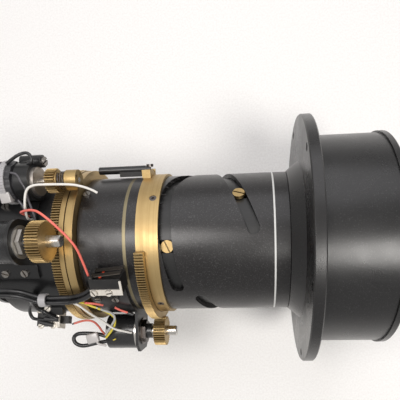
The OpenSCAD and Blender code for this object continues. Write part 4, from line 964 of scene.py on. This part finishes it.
@dataclass
class Drives:
    """Motors, potentiometers and their gears."""

    around: dict[str, tuple[str, Centre]] = field(default_factory=lambda: {
        "focus_pot_body": ("pot_case", FOCUS_POT_AXIS), "focus_pot_nut": ("nut_steel", FOCUS_POT_AXIS),
        "focus_pot_shaft": ("steel", FOCUS_POT_AXIS), "focus_pot_pinion": ("brass", FOCUS_POT_AXIS),
        "focus_pot_bracket": ("bracket", AXIS), "zoom_pot_body": ("pot_case", ZOOM_POT_AXIS),
        "zoom_pot_rim": ("steel", ZOOM_POT_AXIS), "zoom_pot_nut": ("dark_steel", ZOOM_POT_AXIS),
        "zoom_pot_shaft": ("steel", ZOOM_POT_AXIS), "zoom_pot_pinion": ("brass", ZOOM_POT_AXIS),
        "zoom_pot_bracket": ("bracket", AXIS), "focus_motor": ("shrink_wrap", FOCUS_MOTOR_AXIS),
        "focus_motor_face": ("motor_face", FOCUS_MOTOR_AXIS), "focus_motor_bracket": ("bracket", AXIS),
        "focus_motor_shaft": ("steel", FOCUS_MOTOR_AXIS), "clutch_pinion": ("brass", FOCUS_MOTOR_AXIS),
        "clutch_spring": ("dark_steel", FOCUS_MOTOR_AXIS), "clutch_collar": ("brass", FOCUS_MOTOR_AXIS),
        "zoom_motor": ("motor_face", ZOOM_MOTOR_AXIS), "zoom_motor_bracket": ("bracket", AXIS),
        "zoom_motor_pinion": ("brass", ZOOM_MOTOR_AXIS),
    })

    def dress(self, paint: Paintbox) -> None:
        """Gives each solid its material, turned round its own axis.

        Args:
            paint: Makes the materials.
        """
        for node, (finish, centre) in self.around.items():
            dress(node, paint.get(finish, centre))


@dataclass
class Switches:
    """Limit switches and the end switch."""

    finishes: dict[str, str] = field(default_factory=lambda: {
        "limit_switches": "switch_case", "switch_levers": "lever_steel", "switch_plungers": "red_button",
        "switch_screws": "bright_screw", "end_switch": "switch_case", "end_switch_bracket": "tin",
        "end_plunger": "switch_case",
    })

    def dress(self, paint: Paintbox) -> None:
        """Gives each solid its material.

        Args:
            paint: Makes the materials.
        """
        for node, finish in self.finishes.items():
            dress(node, paint.get(finish))


@dataclass(frozen=True)
class Lead:
    """One wire.

    Attributes:
        name: Name of its piece.
        finish: Key in FINISHES.
        diameter: Its diameter, in metres.
        route: Points that it runs through, in millimetres.
        replaces: CAD node that it stands for, if any.
    """

    name: str
    finish: str
    diameter: float
    route: tuple[Point, ...]
    replaces: str | None = None


LEAD_SLOTS: dict[str, Slot] = {
    "cable": Slot.CABLE, "grey_cable": Slot.CABLE, "boot": Slot.CABLE, "clear_nylon": Slot.CLIP,
}
LEAD = 1.3 * MM
CABLE = 2.5 * MM

BUNDLE = millimetres(
    (-180.5, -17, 26), (-180.5, -21, 32), (-180, -25.5, 38.5), (-177, -28.3, 42.5), (-169, -28.4, 42.8),
    (-158, -29, 42.4), (-147, -32.6, 39.7), (-136, -33, 39.4), (-127, -32.4, 39.9), (-120, -30.5, 41.4),
    (-115.2, -27.8, 43.2))


@dataclass
class Wiring:
    """Cables and leads, drawn smooth over the routes that the solids follow.

    Attributes:
        bundle_radius: Distance of each of the bundle's cables from the bundle's middle.
        bundle_side: Direction from the middle to the first cable, before it is squared to the route.
        bundle_cables: Number of cables in the bundle.
        leads: The single wires, with their sleeves and ties.
    """

    bundle_radius: float = 1.6 * MM
    bundle_side: Point = (0.3, 1.0, 0.2)
    bundle_cables: int = 3
    leads: list[Lead] = field(default_factory=lambda: [
        Lead("white_lead", "white_lead", LEAD, (
            (-148, 12, 44.2), (-147.8, 12.3, 50), (-145.7, 17.8, 56), (-143.8, 24.7, 58), (-140.5, 27.7, 58),
            (-134.5, 28.6, 56), (-122, 28.5, 54), (-115.9, 27.4, 53), (-111.4, 25.8, 51.5),
            (-108.7, 24.3, 50.5)), "switch_leads"),
        Lead("red_lead", "red_lead", LEAD, (
            (-150.6, 13.8, 43.2), (-149.4, 14.1, 47.5), (-149.6, 14.3, 50.5), (-148.8, 14.6, 54.5),
            (-146, 14.8, 57.5), (-142.5, 14.8, 60), (-137.9, 14.3, 63.5), (-133.2, 12.9, 66),
            (-128.1, 9.3, 66.5), (-123.5, 4.8, 65.5), (-119.4, -0.2, 63), (-116.7, -5.5, 59.5),
            (-115.8, -12.6, 54), (-115.2, -20.5, 48)), "switch_leads"),
        Lead("pot_white_lead", "white_lead", LEAD, (
            (-129.6, -34.3, 38), (-127.6, -35.2, 38.2), (-125.6, -36.1, 38.2), (-121.8, -41.6, 31),
            (-119, -45.5, 25), (-113.1, -52.2, 17), (-108.9, -54.1, 14), (-104.4, -56, 9.85)), "pot_leads"),
        Lead("pot_grey_lead", "grey_lead", LEAD, (
            (-114.4, -38.8, 34), (-110.5, -41.7, 28), (-110.5, -45.5, 22.5), (-114.3, -50, 17.5),
            (-118, -54.1, 14), (-120.5, -57, 11.5)), "pot_leads"),
        Lead("pot_red_lead", "dull_red_lead", LEAD, (
            (-136.9, -48.5, 20), (-130.4, -46.9, 19), (-126.2, -47.8, 17), (-124, -51, 14),
            (-123, -54.5, 11), (-122.2, -57.5, 7)), "pot_leads"),
        Lead("pot_loop", "cable", CABLE, (
            (-122, -59, 5), (-128, -57, 7), (-138, -56.5, 8), (-141.9, -58, 8), (-142.6, -60.6, 8),
            (-140.7, -63.2, 8), (-136, -64.3, 8), (-128, -62.8, 7), (-122, -62, 5)), "pot_leads"),
        Lead("end_wire_1", "cable", 2.0 * MM, (
            (-149.5, -30.8, 37.5), (-152.9, -31.2, 34), (-160.3, -35.2, 26), (-164.9, -40.6, 20),
            (-164.4, -45.2, 17.5), (-159.9, -46.1, 17.5), (-155.9, -46.3, 17.5))),
        Lead("end_wire_2", "cable", CABLE, (
            (-152.5, -30.8, 37.5), (-156.3, -32.3, 34), (-159.2, -37.5, 24), (-157.7, -40.2, 20),
            (-154.2, -42.4, 19), (-150.8, -44.8, 18), (-148.2, -46, 17.5))),
        Lead("end_boot_1", "boot", 2.9 * MM, (
            (-156.6, -45.6, 17.5), (-152.4, -46.1, 17.5), (-148.2, -46.3, 17.2))),
        Lead("end_boot_2", "boot", 2.9 * MM, (
            (-160.3, -47.7, 17), (-156, -48.8, 17), (-151.8, -49.7, 16.8))),
        Lead("yellow_lead_1", "yellow_lead", LEAD, (
            (-131.5, -33.2, 38.2), (-129.2, -33.8, 37), (-126.1, -34.1, 37), (-123.3, -35.8, 33),
            (-120.8, -37.3, 31), (-118.9, -38.1, 30.1))),
        Lead("yellow_tip_1", "wire_tip", 1.0 * MM, (
            (-119.2, -38, 30.2), (-118.6, -38.25, 29.9), (-117.9, -38.5, 29.6))),
        Lead("yellow_lead_2", "yellow_lead", LEAD, (
            (-118, -38.6, 30), (-115.1, -39.8, 29), (-112.7, -41.9, 26), (-111.4, -44.1, 22.5),
            (-111.6, -47, 19), (-113.4, -51, 15.8), (-117.2, -55.6, 13.2), (-120.4, -58.8, 11))),
        Lead("yellow_end", "speck", 0.8 * MM, (
            (-116.1, -60.4, 10.5), (-115.1, -60, 10.6), (-114.2, -59.6, 10.5))),
        Lead("red_lead_short", "red_lead", LEAD, (
            (-123.4, -34.9, 35.4), (-122.7, -35, 35), (-120.2, -35.3, 34), (-117.5, -35.9, 32),
            (-115.2, -36.9, 29))),
        Lead("red_lead_right", "red_lead", LEAD, (
            (-109.3, -38.6, 25), (-108.5, -39.4, 24), (-106.2, -40.9, 22), (-102.8, -42.4, 20))),
        Lead("black_lead_right", "cable", 2.2 * MM, (
            (-103.4, -42.2, 20.3), (-102, -42.8, 19.6), (-100.4, -43.5, 18.8))),
        Lead("red_lead_end", "cable", 1.0 * MM, (
            (-137.9, -48.9, 20.2), (-137.4, -48.7, 20.1), (-136.6, -48.4, 19.95))),
        Lead("motor_cable_loop", "cable", 1.7 * MM, (
            (-164, 39.5, 47.6), (-160.8, 41.4, 49), (-157.7, 43.1, 50), (-155.1, 44.5, 50.5),
            (-152.6, 45.7, 51), (-149.7, 46.8, 51), (-147.1, 47, 51), (-145.2, 45.8, 51),
            (-144.7, 43.8, 50.5), (-145.6, 42, 50), (-148.7, 41.4, 48), (-151.5, 40.2, 46.8))),
        Lead("motor_cable_thin", "grey_cable", LEAD, (
            (-164, 38, 50), (-160.6, 37.4, 51.4), (-157.3, 36.8, 51.9), (-152.5, 35.5, 52), (-150, 31.6, 52),
            (-148.5, 27.7, 50.4), (-148.7, 22.8, 47.5), (-148.2, 18.7, 45.5), (-147, 13.9, 44.4),
            (-146.5, 9.7, 44))),
        Lead("housing_cable", "grey_cable", 1.5 * MM, (
            (-161.5, 29.6, 47), (-160.5, 28.1, 46.6), (-159.3, 26.5, 46), (-157, 24.1, 45),
            (-154.8, 21.5, 44.4), (-153.1, 18.8, 44.2), (-152.4, 16, 44))),
        Lead("pot_tie_tail", "clear_nylon", 1.5 * MM, (
            (-128.6, -59.5, 9), (-127.1, -60.9, 10), (-125.2, -62.8, 10.5), (-120.7, -63.8, 10.5))),
    ])

    def build(self, paint: Paintbox) -> None:
        """Draws the bundle and the leads, and gives the clip its finish.

        Args:
            paint: Makes the materials.
        """
        self.build_bundle(paint)
        for lead in self.leads:
            piece = cable(smooth_route(millimetres(*lead.route)), lead.diameter)
            slot = LEAD_SLOTS.get(lead.finish, Slot.LEAD)
            settle(piece, lead.name, paint.get(lead.finish), Body.BARREL)
            if lead.replaces:
                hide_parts(lead.replaces)
        dress("cable_clip", paint.get("nylon"))

    def build_bundle(self, paint: Paintbox) -> None:
        """Draws the cables side by side along the bundle's route.

        Args:
            paint: Makes the materials.
        """
        path = smooth_route(BUNDLE)
        ways = [(b - a).normalized() for a, b in zip(path, path[1:])]
        ways.append(ways[-1])
        side = Vector(self.bundle_side)
        sides = []
        for way in ways:
            side = (side - side.dot(way) * way).normalized()
            sides.append(side)
        for i in range(self.bundle_cables):
            turn = math.radians(360 / self.bundle_cables * i)
            line = [p + self.bundle_radius * (math.cos(turn) * s + math.sin(turn) * w.cross(s))
                    for p, w, s in zip(path, ways, sides)]
            piece = cable(line, CABLE)
            settle(piece, f"bundle_cable_{i + 1}", paint.get("cable"), Body.BARREL)
            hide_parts("cable_bundle")


@dataclass
class Spring:
    """Clutch spring drawn round, on the solid's own line, with its rear end at back."""

    radius: float = 4.6 * MM
    wire: float = 0.85 * MM
    length: float = 4.7 * MM
    end_gap: float = 0.1 * MM
    turns: float = 2.75
    back: float = -133.1 * MM
    start_angle: float = FOCUS_MOTOR_ANGLE
    steps: int = 32
    section: int = 3

    def build(self, paint: Paintbox) -> None:
        """Draws the spring.

        Args:
            paint: Makes the materials.
        """
        count = int(self.turns * self.steps)
        rise = self.length - self.wire - 2 * self.end_gap
        points = []
        for i in range(count + 1):
            along = self.back + self.wire / 2 + self.end_gap + rise * i / count
            y, z = polar(self.start_angle + 360 * i / self.steps, self.radius)
            points.append(Vector((along, FOCUS_MOTOR_AXIS[0] + y, FOCUS_MOTOR_AXIS[1] + z)))
        coil = cable(points, self.wire, self.section)
        steel = paint.get("dark_steel", FOCUS_MOTOR_AXIS)
        settle(coil, "clutch_coil", steel, Body.FOCUS_DRIVE)
        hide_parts("clutch_spring")


@dataclass(frozen=True)
class SlottedScrew:
    """Pan head with a slot.

    Attributes:
        name: Name of its piece.
        place: Middle of its underside, in millimetres.
        lean: Angle of its axis about the optical axis, counted from +Y towards +Z.
        radius: Radius of the head.
        slot_turn: Turn of the slot about the screw's axis.
        finish: Key in FINISHES.
        height_share: Height of the head, in radii.
        rim_share: Rounding of its rim, in heights.
        slot_shares: Length and width of the block that cuts the slot, in radii, and its depth, in heights.
    """

    name: str
    place: Point
    lean: float
    radius: float
    slot_turn: float
    finish: str = "bright_screw"
    height_share: float = 0.6
    rim_share: float = 0.55
    rim_segments: int = 4
    slot_shares: Point = (3, 0.28, 0.8)

    def build(self, paint: Paintbox) -> None:
        """Turns the head, rounds its rim and cuts the slot.

        Args:
            paint: Makes the materials.
        """
        height = self.height_share * self.radius
        tilt = math.radians(self.lean - 90.0)
        out = Vector((0.0, -math.sin(tilt), math.cos(tilt)))
        foot = Vector(millimetres(self.place)[0])
        piece = start_cylinder(self.radius, height, tuple(foot + out * (height / 2)), (tilt, 0.0, 0.0))
        pick(piece, lambda face: face.normal.z > FACING)
        bpy.ops.mesh.bevel(offset=self.rim_share * height, segments=self.rim_segments, affect="EDGES")
        finish_normals()
        turn = (Matrix.Rotation(tilt, 3, "X") @ Matrix.Rotation(self.slot_turn, 3, "Z")).to_euler()
        long, wide, deep = self.slot_shares
        size = (long * self.radius, wide * self.radius, deep * height)
        cut(piece, size, tuple(foot + out * height), tuple(turn))
        settle(piece, self.name, paint.get(self.finish), Body.BARREL)


@dataclass(frozen=True)
class Block:
    """Small block with rounded edges.

    Attributes:
        name: Name of its piece.
        size: Its three lengths, in millimetres.
        place: Its centre, in millimetres.
        edge: Radius of its edges.
        finish: Key in FINISHES.
        slot: The record's slot; not used.
        turn: Its turn about X, Y and Z.
    """

    name: str
    size: Point
    place: Point
    edge: float
    finish: str
    slot: Slot
    turn: Point = (0.0, 0.0, 0.0)

    def build(self, paint: Paintbox) -> None:
        """Models the block.

        Args:
            paint: Makes the materials.
        """
        size, place = millimetres(self.size, self.place)
        piece = rounded_block(size, place, self.turn, self.edge)
        settle(piece, self.name, paint.get(self.finish), Body.BARREL)


@dataclass
class MotorWrap:
    """Wrinkled shrink wrap over the focus motor.

    Attributes:
        cuts: Cuts that divide each facet of its side.
        wrinkle: How far the points are moved before they are smoothed.
    """

    radius: float = 11.1 * MM
    back: float = -180.8 * MM
    front: float = -149.4 * MM
    sides: int = 40
    cuts: int = 5
    wrinkle: float = 2.4 * MM
    seed: int = 4
    smoothing: float = 0.5
    smoothings: int = 14

    def build(self, paint: Paintbox) -> None:
        """Slides the wrap over the motor and wrinkles it.

        Args:
            paint: Makes the materials.
        """
        middle = ((self.back + self.front) / 2, *FOCUS_MOTOR_AXIS)
        piece = start_cylinder(self.radius, self.front - self.back, middle, ALONG_X, self.sides)
        pick(piece, lambda face: abs(face.normal.z) < ASKEW)
        bpy.ops.mesh.subdivide(number_cuts=self.cuts)
        bpy.ops.mesh.select_mode(type="VERT")
        bpy.ops.transform.vertex_random(offset=self.wrinkle, uniform=0.0, normal=1.0, seed=self.seed)
        bpy.ops.mesh.vertices_smooth(factor=self.smoothing, repeat=self.smoothings)
        finish_normals()
        settle(piece, "motor_wrap", paint.get("shrink_wrap"), Body.BARREL)


@dataclass
class MotorTie:
    """Ribbed cable tie round the wrap.

    Attributes:
        sides: Facets round it, every second one with a rib.
        rib_floor: Radius past which a face lies on the outside.
    """

    radius: float = 11.1 * MM
    width: float = 3.3 * MM
    thickness: float = 0.8 * MM
    middle: float = -160.6 * MM
    sides: int = 96
    rib_height: float = 0.14 * MM
    rib_floor: float = 11.6 * MM

    def is_rib(self, face: bpy.types.MeshPolygon) -> bool:
        """Whether a face is one of the raised ribs.

        Args:
            face: A face of the strap, in the strap's own frame.

        Returns:
            True on every second facet of the outside.
        """
        outside = face.center.xy.length > self.rib_floor and abs(face.normal.z) < ASKEW
        angle = math.atan2(face.center.y, face.center.x) + math.pi
        return outside and int(angle / (2 * math.pi / self.sides)) % 2 == 0

    def build(self, paint: Paintbox) -> None:
        """Closes the strap round the wrap and raises its ribs.

        Args:
            paint: Makes the materials.
        """
        place = (self.middle, *FOCUS_MOTOR_AXIS)
        strap = start_cylinder(self.radius, self.width, place, ALONG_X, self.sides, "NOTHING")
        shell = strap.modifiers.new("shell", "SOLIDIFY")
        shell.thickness = self.thickness
        shell.offset = 1.0
        bpy.ops.object.modifier_apply(modifier=shell.name)
        pick(strap, self.is_rib)
        bpy.ops.mesh.extrude_faces_move(TRANSFORM_OT_shrink_fatten={"value": self.rib_height})
        finish_normals()
        settle(strap, "motor_tie", paint.get("nylon"), Body.BARREL)


@dataclass
class Fittings:
    """Small fittings on the near side: screws, the motor's wrap and tie, the end switch's foot, tie heads."""

    screws: list[SlottedScrew] = field(default_factory=lambda: [
        SlottedScrew("end_switch_screw_1", (-160.4, -50.4, 14.8), 90.0, 1.9 * MM, 0.4),
        SlottedScrew("end_switch_screw_2", (-152.4, -50.4, 15.2), 90.0, 1.9 * MM, 1.1),
        SlottedScrew("foot_screw", (-154.3, -39.4, 18), 100.0, 2.1 * MM, 0.7),
    ])
    wrap: MotorWrap = field(default_factory=MotorWrap)
    tie: MotorTie = field(default_factory=MotorTie)
    blocks: list[Block] = field(default_factory=lambda: [
        Block("motor_tie_head", (5.8, 6.0, 4.6), (-160.4, 24.2, 48.2), 0.7 * MM, "clear_nylon", Slot.CLIP,
              (0.35, 0.0, 0.1)),
        Block("end_switch_foot", (13, 6.6, 5.0), (-151.6, -39.9, 15.6), 0.3 * MM, "bracket",
              Slot.BLACK_PLASTIC, (0.18, 0.0, 0.0)),
        Block("end_switch_tab", (6.9, 5.2, 0.5), (-152.7, -48.6, 15.05), 0.1 * MM, "bright_screw",
              Slot.BRIGHT_STEEL),
        Block("end_switch_rail", (1.7, 8.2, 1.2), (-148.9, -46.9, 15.7), 0.15 * MM, "bright_screw",
              Slot.BRIGHT_STEEL),
        Block("pot_tie_head", (7.6, 6.2, 3.4), (-129.6, -59.2, 9.2), 0.8 * MM, "clear_nylon", Slot.CLIP,
              (0.0, 0.0, 0.25)),
    ])

    def build(self, paint: Paintbox) -> None:
        """Builds every fitting.

        Args:
            paint: Makes the materials.
        """
        for fitting in (*self.screws, self.wrap, self.tie, *self.blocks):
            fitting.build(paint)


@dataclass(frozen=True)
class Lamp:
    """Soft round lamp.

    Attributes:
        name: Its name.
        place: Its middle.
        size: Its diameter.
        power: Its power in watts.
        colour: Colour of its light.
    """

    name: str
    place: Point
    size: float
    power: float
    colour: Colour

    def hang(self, aim: Point) -> None:
        """Hangs the lamp and turns it.

        Args:
            aim: Point that it shines at.
        """
        data = bpy.data.lights.new(self.name, "AREA")
        data.shape = "DISK"
        data.size = self.size
        data.energy = self.power
        data.color = self.colour
        lamp = bpy.data.objects.new(self.name, data)
        bpy.context.scene.collection.objects.link(lamp)
        turn = (Vector(aim) - Vector(self.place)).to_track_quat("-Z", "Y").to_matrix().to_4x4()
        lamp.matrix_world = Matrix.Translation(self.place) @ turn


@dataclass
class Studio:
    """Camera, lamps, world and floor.

    Attributes:
        lens: Focal length, in millimetres, as is the sensor's width.
        floor_fade: Distances from the origin at which the table starts to fade and has become the backdrop.
        floor_tones: Colours of its fine mottling.
        floor_patch: Colour of its broad patches.
        aim: Point that the lamps shine at.
    """

    eye: Point = (-27.124 * MM, -17.144 * MM, 260.214 * MM)
    look: Point = (-0.08961, 0.0, -0.99598)
    up: Point = (0.02090, 0.99978, -0.00188)
    lens: float = 36.87
    sensor: float = 36.0
    shift: tuple[float, float] = (-0.0433, 0.1722)
    clip: tuple[float, float] = (0.01, 50.0)
    floor_height: float = -74.1 * MM
    floor_size: float = 12.0
    floor_fade: tuple[float, float] = (0.35, 1.3)
    floor_roughness: float = 0.6
    floor_tones: tuple[Colour, Colour] = ((0.89, 0.875, 0.86), (0.97, 0.96, 0.945))
    floor_patch: Colour = (0.92, 0.905, 0.89)
    patch_share: float = 0.35
    mottle: dict[str, float] = field(default_factory=lambda: {"Scale": 700.0, "Detail": 3.0})
    patches: dict[str, float] = field(default_factory=lambda: {"Scale": 9.0, "Detail": 2.0})
    lamps: tuple[Lamp, ...] = (
        Lamp("rear_lamp", (-0.34, 0.1, 1.0), 0.44, 4.5, (1.0, 0.965, 0.94)),
        Lamp("front_lamp", (0.36, -0.32, 0.97), 0.42, 6.6, (1.0, 0.97, 0.93)),
        Lamp("side_lamp", (-0.05, 1.1, 0.9), 1.4, 6.6, (0.98, 0.97, 1.0)),
    )
    aim: Point = (-0.05, 0.0, 0.0)
    room_colour: Colour = (0.95, 0.97, 1.0)
    room_strength: float = 0.2
    backdrop: Colour = (0.6, 0.59, 0.58)

    def build(self) -> None:
        """Sets the stage up."""
        self.place_camera()
        for lamp in self.lamps:
            lamp.hang(self.aim)
        self.paint_world()
        self.lay_floor()
        bpy.context.scene.view_settings.view_transform = "Standard"

    def place_camera(self) -> None:
        """Puts the camera at the main view."""
        data = bpy.data.cameras.new("main_camera")
        data.lens = self.lens
        data.sensor_width = self.sensor
        data.shift_x, data.shift_y = self.shift
        data.clip_start, data.clip_end = self.clip
        data.dof.use_dof = False
        camera = bpy.data.objects.new("main_camera", data)
        bpy.context.scene.collection.objects.link(camera)
        back = -Vector(self.look).normalized()
        right = Vector(self.up).cross(back).normalized()
        turn = Matrix((right, back.cross(right), back)).transposed().to_4x4()
        camera.matrix_world = Matrix.Translation(self.eye) @ turn
        bpy.context.scene.camera = camera

    def background_rays(self, graph: Graph) -> Socket:
        """Marks the rays that show the backdrop.

        Args:
            graph: Node tree that draws the backdrop.

        Returns:
            One for the camera's own rays and for those mirrored or let through by the part, else zero.
        """
        path = graph.add("LightPath").outputs
        mirrored = graph.math("MAXIMUM", path["Is Glossy Ray"], path["Is Transmission Ray"])
        return graph.math("MAXIMUM", path["Is Camera Ray"], mirrored)

    def paint_world(self) -> None:
        """Makes an even room light, with a pale backdrop where the room is seen."""
        world = bpy.data.worlds.new("pale_room")
        world.use_nodes = True
        graph = Graph(world.node_tree)
        room = world.node_tree.nodes["Background"]
        room.inputs["Color"].default_value = (*self.room_colour, 1.0)
        room.inputs["Strength"].default_value = self.room_strength
        backdrop = graph.add("Background", {"Color": (*self.backdrop, 1.0), "Strength": 1.0})
        seen = self.background_rays(graph)
        both = graph.add("MixShader", {0: seen, 1: room.outputs[0], 2: backdrop.outputs[0]})
        graph.link(both.outputs[0], world.node_tree.nodes["World Output"], "Surface")
        bpy.context.scene.world = world

    def lay_floor(self) -> None:
        """Lays the pale, faintly mottled table top, which fades into the backdrop far off."""
        bpy.ops.object.select_all(action="DESELECT")
        bpy.ops.mesh.primitive_plane_add(size=self.floor_size, location=(0.0, 0.0, self.floor_height))
        floor = bpy.context.view_layer.objects.active
        floor.name = "table_top"
        material = bpy.data.materials.new("pale_table")
        material.use_nodes = True
        graph = Graph(material.node_tree)
        shader = material.node_tree.nodes["Principled BSDF"]
        place = graph.position()
        fine = graph.add("TexNoise", {"Vector": place, **self.mottle}).outputs[0]
        broad = graph.add("TexNoise", {"Vector": place, **self.patches}).outputs[0]
        colour = graph.mix(graph.remap(fine, *NOISE_MIDDLE, 0.0, 1.0), *self.floor_tones)
        colour = graph.mix(graph.remap(broad, *MARK_MIDDLE, 0.0, self.patch_share), colour, self.floor_patch)
        graph.link(colour, shader, "Base Color")
        shader.inputs["Roughness"].default_value = self.floor_roughness
        away = graph.add("VectorMath", {0: place}, operation="LENGTH").outputs["Value"]
        seen = self.background_rays(graph)
        share = graph.math("MULTIPLY", graph.remap(away, *self.floor_fade, 0.0, 1.0), seen)
        pale = graph.add("Emission", {"Color": (*self.backdrop, 1.0), "Strength": 1.0})
        both = graph.add("MixShader", {0: share, 1: shader.outputs[0], 2: pale.outputs[0]})
        graph.link(both.outputs[0], material.node_tree.nodes["Material Output"], "Surface")
        floor.data.materials.append(material)


def main() -> None:
    """Builds the looks, piece by piece."""
    logging.basicConfig(level=logging.INFO, format="%(message)s")
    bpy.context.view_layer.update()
    Studio().build()
    paint = Paintbox()
    Wiring().build(paint)
    Barrel().dress(paint)
    Drives().dress(paint)
    Switches().dress(paint)
    Spring().build(paint)
    Fittings().build(paint)


if __name__ == "__main__":
    main()
